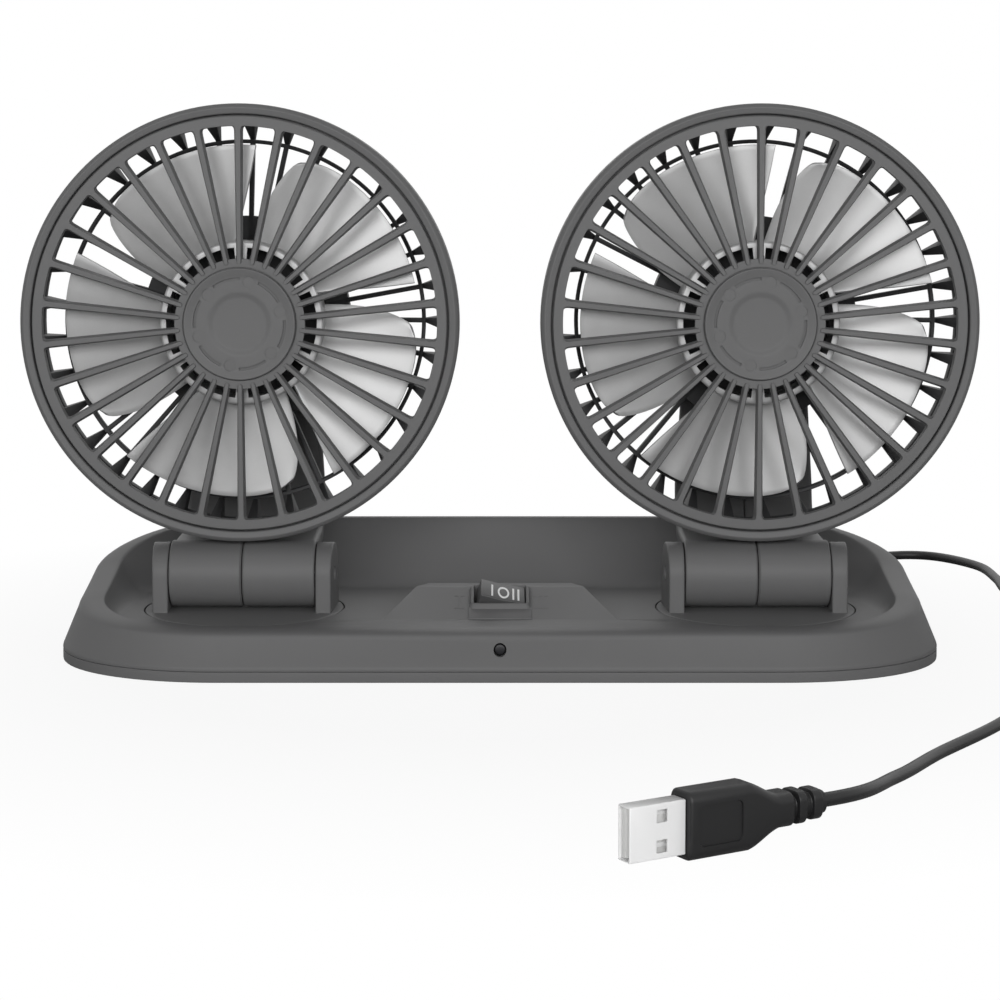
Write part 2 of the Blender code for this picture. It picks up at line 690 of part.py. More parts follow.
def feet_and_screws():
    """Four rubber feet, and the four screws that hold the cover."""
    top = FOOT_STAND + FOOT_SINK - CLEARANCE
    foot = [(0, 0), (FOOT_RADIUS, 0), (FOOT_RADIUS, top), (0, top)]
    foot_mesh = turned_mesh("rubber_foot", foot, SMALL_STEPS, "Z")
    for number, (x, y) in enumerate(foot_places(), 1):
        place_mesh(f"rubber_foot_{number}", foot_mesh, "rubber", place=(x, y, 0))
    low = FOOT_STAND + CLEARANCE
    neck = FOOT_STAND + SCREW_HEAD_HEIGHT - CLEARANCE
    screw = [(0, low), (SCREW_HEAD_RADIUS, low), (SCREW_HEAD_RADIUS, neck), (SCREW_RADIUS, neck),
             (SCREW_RADIUS, low + SCREW_LENGTH), (0, low + SCREW_LENGTH)]
    screw_mesh = turned_mesh("cover_screw", screw, TINY_STEPS, "Z")
    for number, (x, y) in enumerate(screw_places(), 1):
        place_mesh(f"cover_screw_{number}", screw_mesh, "steel", place=(x, y, 0))


def switch_housing():
    """The switch: a raised bezel with sloping sides, and a body through the panel with an open well."""
    rings = []
    for height, draft in ((CLEARANCE, 0), (BEZEL_HEIGHT, BEZEL_DRAFT)):
        outline = rounded_outline(BEZEL_WIDTH - 2 * draft, BEZEL_DEPTH - 2 * draft, BEZEL_CORNER, BEZEL_STEPS)
        rings.append([(x, y, height) for x, y in outline])
    mesh = lofted_mesh("switch_housing", rings)
    middle = -(SWITCH_BODY_HEIGHT - BEZEL_HEIGHT / 2) / 2
    body = box_mesh("body", SWITCH_BODY_WIDTH, SWITCH_BODY_DEPTH, SWITCH_BODY_HEIGHT + BEZEL_HEIGHT / 2,
                    (0, 0, middle))
    mesh = join(mesh, body)
    well_width = ROCKER_WIDTH + 2 * WELL_SWING_GAP
    well_depth = ROCKER_DEPTH + 2 * CLEARANCE
    well = box_mesh("well", well_width, well_depth, 2 * WELL_DEPTH)
    mesh = cut(mesh, well)
    part = place_mesh("switch_housing", mesh, "grey")
    part.matrix_world = panel_frame()


def rocker():
    """The rocker: a shallow V over its pivot, pressed down on its right side at rest."""
    half = ROCKER_WIDTH / 2
    top = half - ROCKER_DRAFT
    valley = ROCKER_RISE - top * math.tan(math.radians(ROCKER_V_ANGLE))
    outline = [(-half, 0), (-top, ROCKER_RISE), (0, valley), (top, ROCKER_RISE), (half, 0),
               (half / 2, -ROCKER_BOTTOM), (-half / 2, -ROCKER_BOTTOM)]
    rings = []
    for y in (-ROCKER_DEPTH / 2, ROCKER_DEPTH / 2):
        rings.append([(x, y, z) for x, z in outline])
    mesh = lofted_mesh("rocker", rings)
    axis = empty_axis("rocker_axis", (0, 0, 0))
    pivot = Matrix.Translation((0, 0, -ROCKER_PIVOT_DROP))
    axis.matrix_world = panel_frame() @ pivot
    part = place_mesh("rocker", mesh, "grey", axis)
    part.rotation_euler = (0, math.radians(ROCKER_ANGLE), 0)


def indicator_light():
    """The light in the front wall, on two legs that stand on the speed board."""
    front = shell_front_at(LIGHT_HEIGHT) + LIGHT_SINK
    back = front + LIGHT_LENGTH
    profile = [(0, front), (LIGHT_RADIUS / 2, front + LIGHT_SINK / 2),
               (LIGHT_RADIUS, front + LIGHT_RADIUS), (LIGHT_RADIUS, back - LIGHT_FLANGE),
               (LIGHT_FLANGE_RADIUS, back - LIGHT_FLANGE), (LIGHT_FLANGE_RADIUS, back), (0, back)]
    mesh = turned_mesh("indicator_light", profile, SMALL_STEPS)
    mesh = moved(mesh, Matrix.Translation((0, 0, LIGHT_HEIGHT)))
    leg_foot = board_top() + CLEARANCE
    for side in (-1, 1):
        x = side * LEG_SPREAD
        reach = LIGHT_FLANGE + LEG_WIDTH
        middle = (x, back + LEG_WIDTH / 2, LIGHT_HEIGHT)
        mesh = join(mesh, box_mesh("leg", LEG_WIDTH, reach, LEG_WIDTH, middle))
        height = LIGHT_HEIGHT - leg_foot
        foot = (x, back + LEG_WIDTH, leg_foot + height / 2)
        mesh = join(mesh, box_mesh("leg", LEG_WIDTH * LEG_FOOT_SHARE, LEG_WIDTH, height, foot))
    place_mesh("indicator_light", mesh, "smoke")


def shell_front_at(height):
    """Give the place of the front wall's surface at a height."""
    top = DISH_HEIGHT + FRONT_LIP - SHOULDER_DROP
    lean = (height - PART_LINE) / (top - PART_LINE)
    return -BASE_DEPTH / 2 + lean * (LIP_INSET - SHOULDER_RUN)


def board_top():
    """Give the height of the speed board's upper face."""
    return FOOT_STAND + COVER_THICKNESS + CLEARANCE + BOARD_THICKNESS


def speed_board():
    """The little board behind the light, which sets the two speeds."""
    y = -BASE_DEPTH / 2 + BOARD_FRONT_GAP + BOARD_DEPTH / 2
    z = board_top() - BOARD_THICKNESS / 2
    place_mesh("speed_board", box_mesh("speed_board", BOARD_WIDTH, BOARD_DEPTH, BOARD_THICKNESS), "board",
               place=(0, y, z))


# Turntable and hinge
def turntable_mesh():
    """Make the disc with its neck and two ears; the origin is on the swivel axis at dish level."""
    seat, under = turntable_floor()
    disc = -TURNTABLE_THICKNESS
    clip = under - DISH_HEIGHT - CLEARANCE
    groove = clip - CLIP_THICKNESS - CLEARANCE
    profile = [(0, groove - NECK_END), (NECK_RADIUS, groove - NECK_END), (NECK_RADIUS, groove),
               (NECK_RADIUS - NECK_GROOVE, groove), (NECK_RADIUS - NECK_GROOVE, clip), (NECK_RADIUS, clip),
               (NECK_RADIUS, disc), (TURNTABLE_RADIUS, disc), (TURNTABLE_RADIUS, 0), (0, 0)]
    mesh = turned_mesh("turntable", profile, MIDDLE_STEPS - 4, "Z")
    inner = BARREL_LENGTH / 2 + CLEARANCE
    for side in (-1, 1):
        mesh = join(mesh, ear_mesh(side, inner))
    bore = PIN_RADIUS + CLEARANCE
    reach = inner + EAR_THICKNESS + EAR_FLARE + OVERRUN
    hole = [(0, -reach), (bore, -reach), (bore, reach), (0, reach)]
    return drill(mesh, hole, SMALL_STEPS, "X", Matrix.Translation((0, 0, AXIS_RISE)))


def ear_mesh(side, inner):
    """Make one ear: a tab with a round top, its outer face flared towards the back."""
    outline = [(-EAR_RADIUS, -TURNTABLE_THICKNESS / 2), (EAR_RADIUS, -TURNTABLE_THICKNESS / 2)]
    for y, z in arc_points(EAR_RADIUS, 0, 180, EAR_STEPS):
        outline.append((y, z + AXIS_RISE))
    rings = []
    for outer in (False, True):
        ring = []
        for y, z in outline:
            share = (y + EAR_RADIUS) / (2 * EAR_RADIUS)
            x = inner + (EAR_THICKNESS + EAR_FLARE * (share - 0.5) if outer else 0)
            ring.append((side * x, y, z))
        rings.append(ring)
    return lofted_mesh("ear", rings)


def turntable_clip_mesh():
    """Make the spring ring that holds the turntable down, open at its mouth."""
    seat, under = turntable_floor()
    high = under - DISH_HEIGHT - CLEARANCE - CLEARANCE
    low = high - CLIP_THICKNESS + CLEARANCE
    inner = NECK_RADIUS - NECK_GROOVE + CLEARANCE
    profile = [(inner, low), (inner + CLIP_WIDTH, low), (inner + CLIP_WIDTH, high), (inner, high)]
    mesh = turned_mesh("clip", profile, HIDDEN_STEPS, "Z", ring=True)
    reach = inner + CLIP_WIDTH
    middle = (0, reach, (low + high) / 2)
    return cut(mesh, box_mesh("mouth", CLIP_MOUTH, 2 * reach, 2 * CLIP_THICKNESS, middle))


def hinge_pin_mesh():
    """Make the steel pin through both ears and the barrel."""
    reach = BARREL_LENGTH / 2 + CLEARANCE + EAR_THICKNESS - EAR_FLARE / 2
    profile = [(0, -reach), (PIN_RADIUS, -reach), (PIN_RADIUS, reach), (0, reach)]
    return turned_mesh("pin", profile, SMALL_STEPS, "X")


def arm_path():
    """Give the arm's middle line as (back, up, turn) and the half width at each place."""
    top = BARREL_RADIUS - ARM_TOP_BELOW_BARREL
    middle = top - ARM_THICKNESS / 2
    centre_back = ARM_REACH - ARM_BEND_RADIUS
    centre_up = top + ARM_BEND_RADIUS
    radius = ARM_BEND_RADIUS + ARM_THICKNESS / 2
    path = [(0, middle, 0, ARM_LOW_HALF_WIDTH), (centre_back, middle, 0, ARM_LOW_HALF_WIDTH)]
    for angle in ARM_BEND_ANGLES:
        turn = math.radians(angle)
        back = centre_back + radius * math.sin(turn)
        path.append((back, centre_up - radius * math.cos(turn), angle, ARM_LOW_HALF_WIDTH))
    back = centre_back + radius
    waist = (centre_up + HEAD_RISE) / 2
    path.append((back, waist, 90, ARM_MIDDLE_HALF_WIDTH))
    end_centre = HEAD_RISE
    path.append((back, end_centre, 90, ARM_TOP_HALF_WIDTH))
    for angle in ARM_TIP_ANGLES:
        turn = math.radians(angle)
        half = ARM_TOP_HALF_WIDTH * math.cos(turn)
        path.append((back, end_centre + ARM_TOP_HALF_WIDTH * math.sin(turn), 90, half))
    return path


def arm_half_mesh(side):
    """Make one half shell of the arm with its half of the hinge barrel."""
    seam = CLEARANCE / 2
    rings = []
    for back, up, angle, half in arm_path():
        turn = math.radians(angle)
        edge = min(ARM_EDGE, half * ARM_EDGE_SHARE)
        rise = ARM_THICKNESS / 2
        section = [(seam, -rise), (half - edge, -rise), (half, -rise + edge), (half, rise - edge),
                   (half - edge, rise), (seam, rise)]
        ring = []
        for x, z in section:
            ring.append((side * x, back - z * math.sin(turn), up + z * math.cos(turn)))
        rings.append(ring)
    arm = lofted_mesh("arm", rings)
    bore = PIN_RADIUS + CLEARANCE
    end = BARREL_LENGTH / 2
    radius = BARREL_RADIUS
    profile = [(0, seam), (radius - SEAM_GROOVE, seam), (radius, seam + SEAM_GROOVE),
               (radius, end - SEAM_GROOVE), (radius - SEAM_GROOVE, end), (0, end)]
    barrel = turned_mesh("barrel", [(r, side * x) for r, x in profile], HIDDEN_STEPS, "X")
    mesh = join(barrel, arm)
    hole = [(0, -end - OVERRUN), (bore, -end - OVERRUN), (bore, end + OVERRUN), (0, end + OVERRUN)]
    return drill(mesh, hole, SMALL_STEPS, "X")


# Head: origins at the middle of the front plane, with +Y to the back
def rim_ring_mesh():
    """Make the outer hoop: round front edge, and a ledge that the grille sits on."""
    outer = HEAD_RADIUS
    inner = outer - RING_WALL
    ledge = GRILLE_SINK + GRILLE_THICKNESS + CLEARANCE
    profile = [(inner, RING_ROUND / 2), (outer - RING_ROUND, 0), (outer, RING_ROUND),
               (outer, RING_DEPTH), (inner, RING_DEPTH), (inner - RING_LEDGE, ledge + RING_LEDGE_DEPTH),
               (inner - RING_LEDGE, ledge), (inner, ledge)]
    return turned_mesh("rim_ring", profile, RING_STEPS, ring=True)


def slotted_disc(name, rings, ribs, open_rows, rib_width):
    """Make a disc of ribs and hoops: (radius, front, back) rings, with rows left open between ribs."""
    bm = bmesh.new()
    grids = {"front": [], "back": []}
    for radius, front, back in rings:
        half = math.asin(rib_width(radius) / 2 / radius)
        for layer, along in (("front", front), ("back", back)):
            row = []
            for rib in range(ribs):
                for turn in (-half, half):
                    angle = math.tau * rib / ribs + turn
                    row.append(bm.verts.new((radius * math.cos(angle), along, radius * math.sin(angle))))
            grids[layer].append(row)
    columns = 2 * ribs
    rows = len(rings) - 1

    def solid(row, column):
        """Tell whether the cell between two rings and two rib edges is filled."""
        return row < rows and not (row in open_rows and column % 2)

    def wall(first, second):
        """Close the disc's edge between two (ring, column) corners."""
        corners = [grids["front"][row][column] for row, column in (first, second)]
        corners += [grids["back"][row][column] for row, column in (second, first)]
        bm.faces.new(corners)

    for column in range(columns):
        after = (column + 1) % columns
        for row in range(rows + 1):
            if solid(row - 1, column) != solid(row, column):
                wall((row, column), (row, after))
        for row in range(rows):
            if solid(row, column):
                for grid in grids.values():
                    bm.faces.new((grid[row][column], grid[row][after],
                                  grid[row + 1][after], grid[row + 1][column]))
            if solid(row, column) != solid(row, after):
                wall((row, after), (row + 1, after))
    for grid in grids.values():
        bm.faces.new(grid[0])
    return finished_mesh(bm, name)


def front_grille_mesh():
    """Make the front grille: a flat hoop, tapering spokes and a hub with a seat for the cap."""
    front = GRILLE_SINK
    back = front + GRILLE_THICKNESS
    band = GRILLE_RADIUS - GRILLE_BAND
    rings = [(HUB_RADIUS, front, back), (band, front, back), (GRILLE_RADIUS, front, back)]

    def width(radius):
        share = (min(radius, band) - HUB_RADIUS) / (band - HUB_RADIUS)
        return RIB_INNER_WIDTH + (RIB_OUTER_WIDTH - RIB_INNER_WIDTH) * share

    mesh = slotted_disc("front_grille", rings, GRILLE_RIBS, (0,), width)
    seat = [(0, front - OVERRUN), (HUB_CLEAR_RADIUS, front - OVERRUN),
            (HUB_CLEAR_RADIUS, front + CAP_SEAT), (0, front + CAP_SEAT)]
    return drill(mesh, seat, GRILLE_RIBS)


def hub_cap_mesh():
    """Make the round cap: a proud rim that slopes in to a plate with six curved slots and a sunk middle."""
    back = GRILLE_SINK + CAP_SEAT - CLEARANCE
    front = back - CAP_THICKNESS
    plate = front + CAP_RECESS
    dish = plate + CAP_DISH_DEPTH
    profile = [(0, dish), (CAP_DISH_RADIUS - CAP_DISH_SLOPE, dish), (CAP_DISH_RADIUS, plate),
               (CAP_SLOPE_FOOT, plate), (CAP_RADIUS - CAP_RIM, front), (CAP_RADIUS, front + CAP_RIM),
               (CAP_RADIUS, back), (0, back)]
    mesh = turned_mesh("hub_cap", profile, CAP_STEPS)
    for number in range(CAP_ARCS):
        start = CAP_ARC_START + 360 * number / CAP_ARCS
        outline = arc_points(CAP_PLATE_RADIUS, start, start + CAP_ARC_ANGLE, ARC_STEPS)
        outline += arc_points(CAP_PLATE_RADIUS - CAP_ARC_WIDTH, start + CAP_ARC_ANGLE, start, ARC_STEPS)
        slot = prism_mesh("slot", outline, -plate - CAP_ARC_DEPTH, -plate + CAP_RECESS)
        mesh = cut(mesh, moved(slot, Matrix.Rotation(math.pi / 2, 4, "X")))
    return mesh


def rear_guard_mesh():
    """Make the rear guard: a rim, thin ribs that are deep fins by the rim, a hoop and the motor's hub."""
    rim = RING_DEPTH + CLEARANCE
    outer = HEAD_RADIUS - CLEARANCE
    rib_front = rim + GUARD_RIM_DEPTH + GUARD_RIM_SLOPE
    hub = GUARD_HUB_RADIUS
    ring_in = GUARD_RING_RADIUS - GUARD_RING_WIDTH / 2
    ring_out = GUARD_RING_RADIUS + GUARD_RING_WIDTH / 2
    inside = outer - GUARD_RIM_WIDTH
    rings = [(hub, GUARD_HUB_BACK, GUARD_HUB_BACK + GUARD_RIB_DEPTH),
             (ring_in, GUARD_RING_BACK, GUARD_RING_BACK + GUARD_RIB_DEPTH),
             (ring_out, GUARD_RING_BACK - CLEARANCE, GUARD_RING_BACK + GUARD_RIB_DEPTH - CLEARANCE),
             (inside - CLEARANCE, GUARD_FIN_FRONT, rib_front),
             (inside, rim, rib_front),
             (outer, rim, rim + GUARD_RIM_DEPTH)]
    mesh = slotted_disc("rear_guard", rings, GUARD_RIBS, (0, 2, 3), lambda radius: GUARD_RIB_WIDTH)
    bore = MOTOR_RADIUS + CLEARANCE
    low = GUARD_HUB_BACK - OVERRUN
    high = GUARD_HUB_BACK + GUARD_RIB_DEPTH + OVERRUN
    hole = [(0, low), (bore, low), (bore, high), (0, high)]
    return drill(mesh, hole, MIDDLE_STEPS)


def motor_cover_mesh():
    """Make the rear cap: a domed cup with a sleeve in it for the motor; the arm meets its back."""
    wall = MOTOR_COVER_WALL
    bore = MOTOR_RADIUS + CLEARANCE
    floor = MOTOR_FRONT_BACK + MOTOR_LENGTH + CLEARANCE
    profile = [(0, floor), (bore, floor), (bore, COVER_FRONT), (bore + wall, COVER_FRONT),
               (bore + wall, COVER_BACK - wall)]
    profile += reversed(cover_dome(wall))
    profile += cover_dome(0)
    profile.append((0, COVER_BACK))
    return turned_mesh("motor_cover", profile, MIDDLE_STEPS - 4)


def cover_dome(inset):
    """Give the motor cover's section from its front rim to its back, at a distance inside it."""
    wide = GUARD_HUB_RADIUS - inset
    narrow = MOTOR_COVER_BACK_RADIUS - inset
    back = COVER_BACK - inset
    slope = back - COVER_FRONT - MOTOR_COVER_RIM
    section = [(wide, COVER_FRONT), (wide, COVER_FRONT + MOTOR_COVER_RIM)]
    for angle in MOTOR_COVER_ANGLES:
        turn = math.radians(angle)
        section.append((narrow + (wide - narrow) * math.cos(turn), back - slope * (1 - math.sin(turn))))
    section.append((narrow, back))
    return section


def motor_can_mesh():
    """Make the motor's steel can with the bore that its shaft runs in."""
    front = MOTOR_FRONT_BACK
    back = front + MOTOR_LENGTH
    bore = SHAFT_RADIUS + CLEARANCE
    deep = front + SHAFT_IN_MOTOR + CLEARANCE
    profile = [(0, deep), (bore, deep), (bore, front), (MOTOR_RADIUS, front), (MOTOR_RADIUS, back),
               (0, back)]
    return turned_mesh("motor_can", profile, HIDDEN_STEPS)


def motor_shaft_mesh():
    """Make the shaft, from inside the impeller's boss into the motor."""
    front = IMPELLER_BACK + IMPELLER_WALL + CLEARANCE
    back = MOTOR_FRONT_BACK + SHAFT_IN_MOTOR
    profile = [(0, front), (SHAFT_RADIUS, front), (SHAFT_RADIUS, back), (0, back)]
    return turned_mesh("motor_shaft", profile, SMALL_STEPS)


def blade_mesh():
    """Make one blade: a twisted, cambered sheet with a skewed tip and one rounded corner."""
    root = IMPELLER_HUB_RADIUS - IMPELLER_WALL / 2
    bm = bmesh.new()
    rows = []
    for radial in BLADE_RADIAL_SHARES:
        radius = root + (BLADE_TIP_RADIUS - root) * radial
        centre = BLADE_ROOT_CENTRE + (BLADE_TIP_CENTRE - BLADE_ROOT_CENTRE) * radial ** BLADE_SKEW_POWER
        span = BLADE_ROOT_SPAN + (BLADE_TIP_SPAN - BLADE_ROOT_SPAN) * radial
        depth = BLADE_ROOT_DEPTH + (BLADE_TIP_DEPTH - BLADE_ROOT_DEPTH) * radial
        row = []
        for chord in BLADE_CHORD_SHARES:
            shorter = BLADE_TIP_ROUND_SHARE * (radial * chord) ** BLADE_CORNER_POWER
            angle = math.radians(centre + span * (chord - 0.5))
            camber = BLADE_CAMBER_SHARE * 4 * chord * (1 - chord)
            along = IMPELLER_BACK + BLADE_THICKNESS + depth * (chord + camber) / (1 + BLADE_CAMBER_SHARE)
            reach = radius * (1 - shorter)
            row.append(bm.verts.new((reach * math.cos(angle), along, reach * math.sin(angle))))
        rows.append(row)
    for lower, upper in zip(rows, rows[1:]):
        for index in range(len(lower) - 1):
            bm.faces.new((lower[index], lower[index + 1], upper[index + 1], upper[index]))
    sheet = bpy.data.objects.new("blade", finished_mesh(bm, "blade"))
    bpy.context.collection.objects.link(sheet)
    wall = sheet.modifiers.new("wall", "SOLIDIFY")
    wall.thickness = BLADE_THICKNESS
    wall.offset = 0
    graph = bpy.context.evaluated_depsgraph_get()
    mesh = bpy.data.meshes.new_from_object(sheet.evaluated_get(graph), depsgraph=graph)
    bpy.data.objects.remove(sheet, do_unlink=True)
    return mesh


def impeller_mesh():
    """Make the impeller: a hub cup with a boss, and five blades fused to it."""
    front = IMPELLER_BACK
    wall = IMPELLER_WALL
    outer = IMPELLER_HUB_RADIUS
    boss = MOTOR_FRONT_BACK - 2 * CLEARANCE
    bore = SHAFT_RADIUS + CLEARANCE
    profile = [(0, front), (outer - wall, front), (outer, front + wall),
               (outer, front + IMPELLER_HUB_DEPTH), (outer - wall, front + IMPELLER_HUB_DEPTH),
               (outer - wall, front + wall), (IMPELLER_BOSS_RADIUS, front + wall),
               (IMPELLER_BOSS_RADIUS, boss), (bore, boss), (bore, front + wall), (0, front + wall)]
    mesh = turned_mesh("impeller", profile, MIDDLE_STEPS - 4)
    blade = blade_mesh()
    for number in range(BLADES):
        copy = blade.copy()
        copy.transform(Matrix.Rotation(math.tau * number / BLADES, 4, "Y"))
        mesh = join(mesh, copy)
    return mesh


def head_pieces():
    """List a head's pieces: name, finish, which axis carries it and its mesh."""
    return (("turntable", "grey", "swivel", turntable_mesh()),
            ("turntable_clip", "steel", "swivel", turntable_clip_mesh()),
            ("hinge_pin", "steel", "hinge", hinge_pin_mesh()),
            ("arm_left_half", "grey", "tilt", arm_half_mesh(-1)),
            ("arm_right_half", "grey", "tilt", arm_half_mesh(1)),
            ("rim_ring", "grey", "head", rim_ring_mesh()),
            ("front_grille", "grey", "head", front_grille_mesh()),
            ("hub_cap", "grey", "head", hub_cap_mesh()),
            ("rear_guard", "dark", "head", rear_guard_mesh()),
            ("motor_cover", "dark", "head", motor_cover_mesh()),
            ("motor_can", "steel", "head", motor_can_mesh()),
            ("motor_shaft", "steel", "spin", motor_shaft_mesh()),
            ("impeller", "blade", "spin", impeller_mesh()))


def heads():
    """Both heads, each on its own swivel, tilt and spin axes."""
    pieces = head_pieces()
    for name, side in (("left", -1), ("right", 1)):
        place = (side * HEAD_SPACING / 2, SWIVEL_BACK, DISH_HEIGHT)
        swivel = empty_axis(name + "_swivel_axis", place)
        hinge = empty_axis(name + "_hinge_line", (0, 0, AXIS_RISE), swivel)
        tilt = empty_axis(name + "_tilt_axis", (0, 0, AXIS_RISE), swivel)
        head = empty_axis(name + "_head_centre", (0, -RING_FORWARD, HEAD_RISE), tilt)
        spin = empty_axis(name + "_spin_axis", (0, 0, 0), head)
        carriers = {"swivel": swivel, "hinge": hinge, "tilt": tilt, "head": head, "spin": spin}
        for piece, finish, carrier, mesh in pieces:
            place_mesh(name + "_" + piece, mesh, finish, carriers[carrier])


# USB lead
def wall_lean():
    """Give how far the back wall leans in for each unit of height at the cord's exit."""
    rise, inset = wall_form((0, BASE_DEPTH / 2 - CORNER_DEPTH, 0, 1))
    return (inset - SHOULDER_RUN) / (DISH_HEIGHT + rise - SHOULDER_DROP - PART_LINE)


def cord_gland():
    """The ribbed strain relief in the back wall: inner flange, sleeve and tapered boot."""
    inner = -BASE_WALL - wall_lean() * GLAND_FLANGE_RADIUS - CLEARANCE
    outer = wall_lean() * GLAND_FLANGE_RADIUS + CLEARANCE
    sleeve = GLAND_HOLE_RADIUS - CLEARANCE
    profile = [(0, inner - GLAND_FLANGE), (GLAND_FLANGE_RADIUS, inner - GLAND_FLANGE),
               (GLAND_FLANGE_RADIUS, inner), (sleeve, inner), (sleeve, outer)]
    for ring in range(GLAND_RINGS):
        share = ring / GLAND_RINGS
        radius = GLAND_BOOT_RADIUS + (GLAND_TIP_RADIUS - GLAND_BOOT_RADIUS) * share
        along = outer + (GLAND_LENGTH - outer) * share
        profile.append((radius, along))
        profile.append((radius - GLAND_RING_GROOVE, along + (GLAND_LENGTH - outer) / GLAND_RINGS / 2))
    profile += [(GLAND_TIP_RADIUS, GLAND_LENGTH), (0, GLAND_LENGTH)]
    mesh = turned_mesh("cord_strain_relief", profile, TINY_STEPS + 2)
    part = place_mesh("cord_strain_relief", mesh, "rubber")
    part.matrix_world = gland_frame()


def smooth_route(route, start_way, end_way):
    """Read a smooth curve through a cord's own points, with a straight run of a diameter at each end."""
    spots = [Vector(spot) for spot in route]
    start, end = spots[0], spots[-1]
    spots[0] = start + CORD_DIAMETER * start_way
    spots[-1] = end - CORD_DIAMETER * end_way
    spots = [spots[1] - 2 * (spots[1] - spots[0]).length * start_way] + spots
    spots.append(spots[-2] + 2 * (spots[-1] - spots[-2]).length * end_way)
    fine = []
    for before, first, second, after in zip(spots, spots[1:], spots[2:], spots[3:]):
        leave = (second - before) / 2
        arrive = (after - first) / 2
        for step in range(CURVE_STEPS):
            t = step / CURVE_STEPS
            fine.append(first * (2 * t ** 3 - 3 * t ** 2 + 1) + leave * (t ** 3 - 2 * t ** 2 + t)
                        + second * (3 * t ** 2 - 2 * t ** 3) + arrive * (t ** 3 - t ** 2))
    fine.append(spots[-2])
    lengths = [0]
    for first, second in zip(fine, fine[1:]):
        lengths.append(lengths[-1] + (second - first).length)
    count = round(lengths[-1] / (CORD_POINT_DIAMETERS * CORD_DIAMETER))
    points = [start]
    index = 0
    for number in range(count + 1):
        wanted = lengths[-1] * number / count
        while index < len(fine) - 2 and lengths[index + 1] < wanted:
            index += 1
        share = (wanted - lengths[index]) / (lengths[index + 1] - lengths[index])
        points.append(fine[index].lerp(fine[index + 1], share))
    return points + [end]


def cord_length(points):
    """Add up the straight runs between points."""
    return sum((second - first).length for first, second in zip(points, points[1:]))


def cord_tube(name, points, roundness):
    """Make one stretch of cord as a curve with a bevel and filled caps."""
    curve = bpy.data.curves.new(name, "CURVE")
    curve.dimensions = "3D"
    curve.bevel_depth = CORD_DIAMETER / 2
    curve.bevel_resolution = roundness
    curve.use_fill_caps = True
    spline = curve.splines.new("POLY")
    spline.points.add(len(points) - 1)
    for spot, point in zip(spline.points, points):
        spot.co = (*point, 1)
    curve.materials.append(material_for(name, "rubber"))
    part = bpy.data.objects.new(name, curve)
    bpy.context.collection.objects.link(part)


def coil_points():
    """Wind the coil: in on the lower layer, up in the middle half turn, and out again."""
    low = TIE_THICKNESS + CLEARANCE + CORD_DIAMETER / 2
    turns = 2 * COIL_TURNS_PER_LAYER
    count = round(turns * COIL_POINTS_PER_TURN)
    points = []
    for number in range(count + 1):
        turn = turns * number / count
        from_middle = turn - COIL_TURNS_PER_LAYER
        radius = COIL_INNER_RADIUS + COIL_STEP * abs(from_middle)
        climb = min(1, max(0, from_middle / COIL_CLIMB_TURNS + 0.5))
        angle = math.radians(COIL_START_ANGLE) - math.tau * turn
        points.append(Vector((COIL_CENTRE_SIDE + radius * math.cos(angle),
                              COIL_CENTRE_BACK + radius * math.sin(angle),
                              low + COIL_LAYER * climb * climb * (3 - 2 * climb))))
    for end, way in ((0, Vector((-1, 0, 0))), (-1, Vector((-1, 0, 0)))):
        straight = points[end] + CORD_DIAMETER * way
        if end == 0:
            points.insert(0, straight)
        else:
            points.append(straight)
    return points


def least_coil_gap(points):
    """Measure the least gap between turns that are at least half a turn apart."""
    apart = COIL_POINTS_PER_TURN // 2
    least = math.inf
    for index, first in enumerate(points):
        for second in points[index + apart:]:
            least = min(least, (second - first).length - CORD_DIAMETER)
    return least


def cord():
    """The lead: out of the base, round to its coil, and back across the front to the plug."""
    coil = coil_points()
    print(f"Least gap in the coil: {least_coil_gap(coil) / MM:.2f} mm")
    exit_place = gland_frame().translation + Vector((0, GLAND_LENGTH + CLEARANCE, 0))
    lead_end = coil[0] - Vector((CLEARANCE, 0, 0))
    lead_spots = [exit_place] + list(CORD_LEAD_ROUTE) + [lead_end]
    lead = smooth_route(lead_spots, Vector((0, 1, 0)), Vector((1, 0, 0)))
    tail_start = coil[-1] - Vector((CLEARANCE, 0, 0))
    plug_way = plug_frame().to_3x3() @ Vector((1, 0, 0))
    overmould = PLUG_BODY_LENGTH + PLUG_TAPER_LENGTH + PLUG_RELIEF_LENGTH
    plug_end = plug_frame() @ Vector((overmould + CLEARANCE, 0, 0))
    tail_spots = [tail_start] + list(CORD_TAIL_ROUTE) + [plug_end]
    tail = smooth_route(tail_spots, Vector((-1, 0, 0)), -plug_way)
    cord_tube("cord_lead", lead, CORD_ROUNDNESS)
    cord_tube("cord_coil", coil, COIL_ROUNDNESS)
    cord_tube("cord_tail", tail, CORD_ROUNDNESS)
    total = cord_length(lead) + cord_length(coil) + cord_length(tail)
    print(f"Cord length: {total:.3f} m")


def cord_tie():
    """The band that holds the coil together, across all its turns."""
    inner = COIL_INNER_RADIUS - CORD_DIAMETER / 2 - TIE_ROOM
    outer = COIL_INNER_RADIUS + COIL_STEP * COIL_TURNS_PER_LAYER + CORD_DIAMETER / 2 + TIE_ROOM
    height = COIL_LAYER + CORD_DIAMETER + 2 * CLEARANCE
    middle = TIE_THICKNESS + height / 2
    x = COIL_CENTRE_SIDE - (inner + outer) / 2
    width = outer - inner
    spot = (x, COIL_CENTRE_BACK, middle)
    band = box_mesh("cord_tie", width + 2 * TIE_THICKNESS, TIE_WIDTH, height + 2 * TIE_THICKNESS, spot)
    band = cut(band, box_mesh("hole", width, TIE_WIDTH + OVERRUN, height, spot))
    place_mesh("cord_tie", band, "rubber")


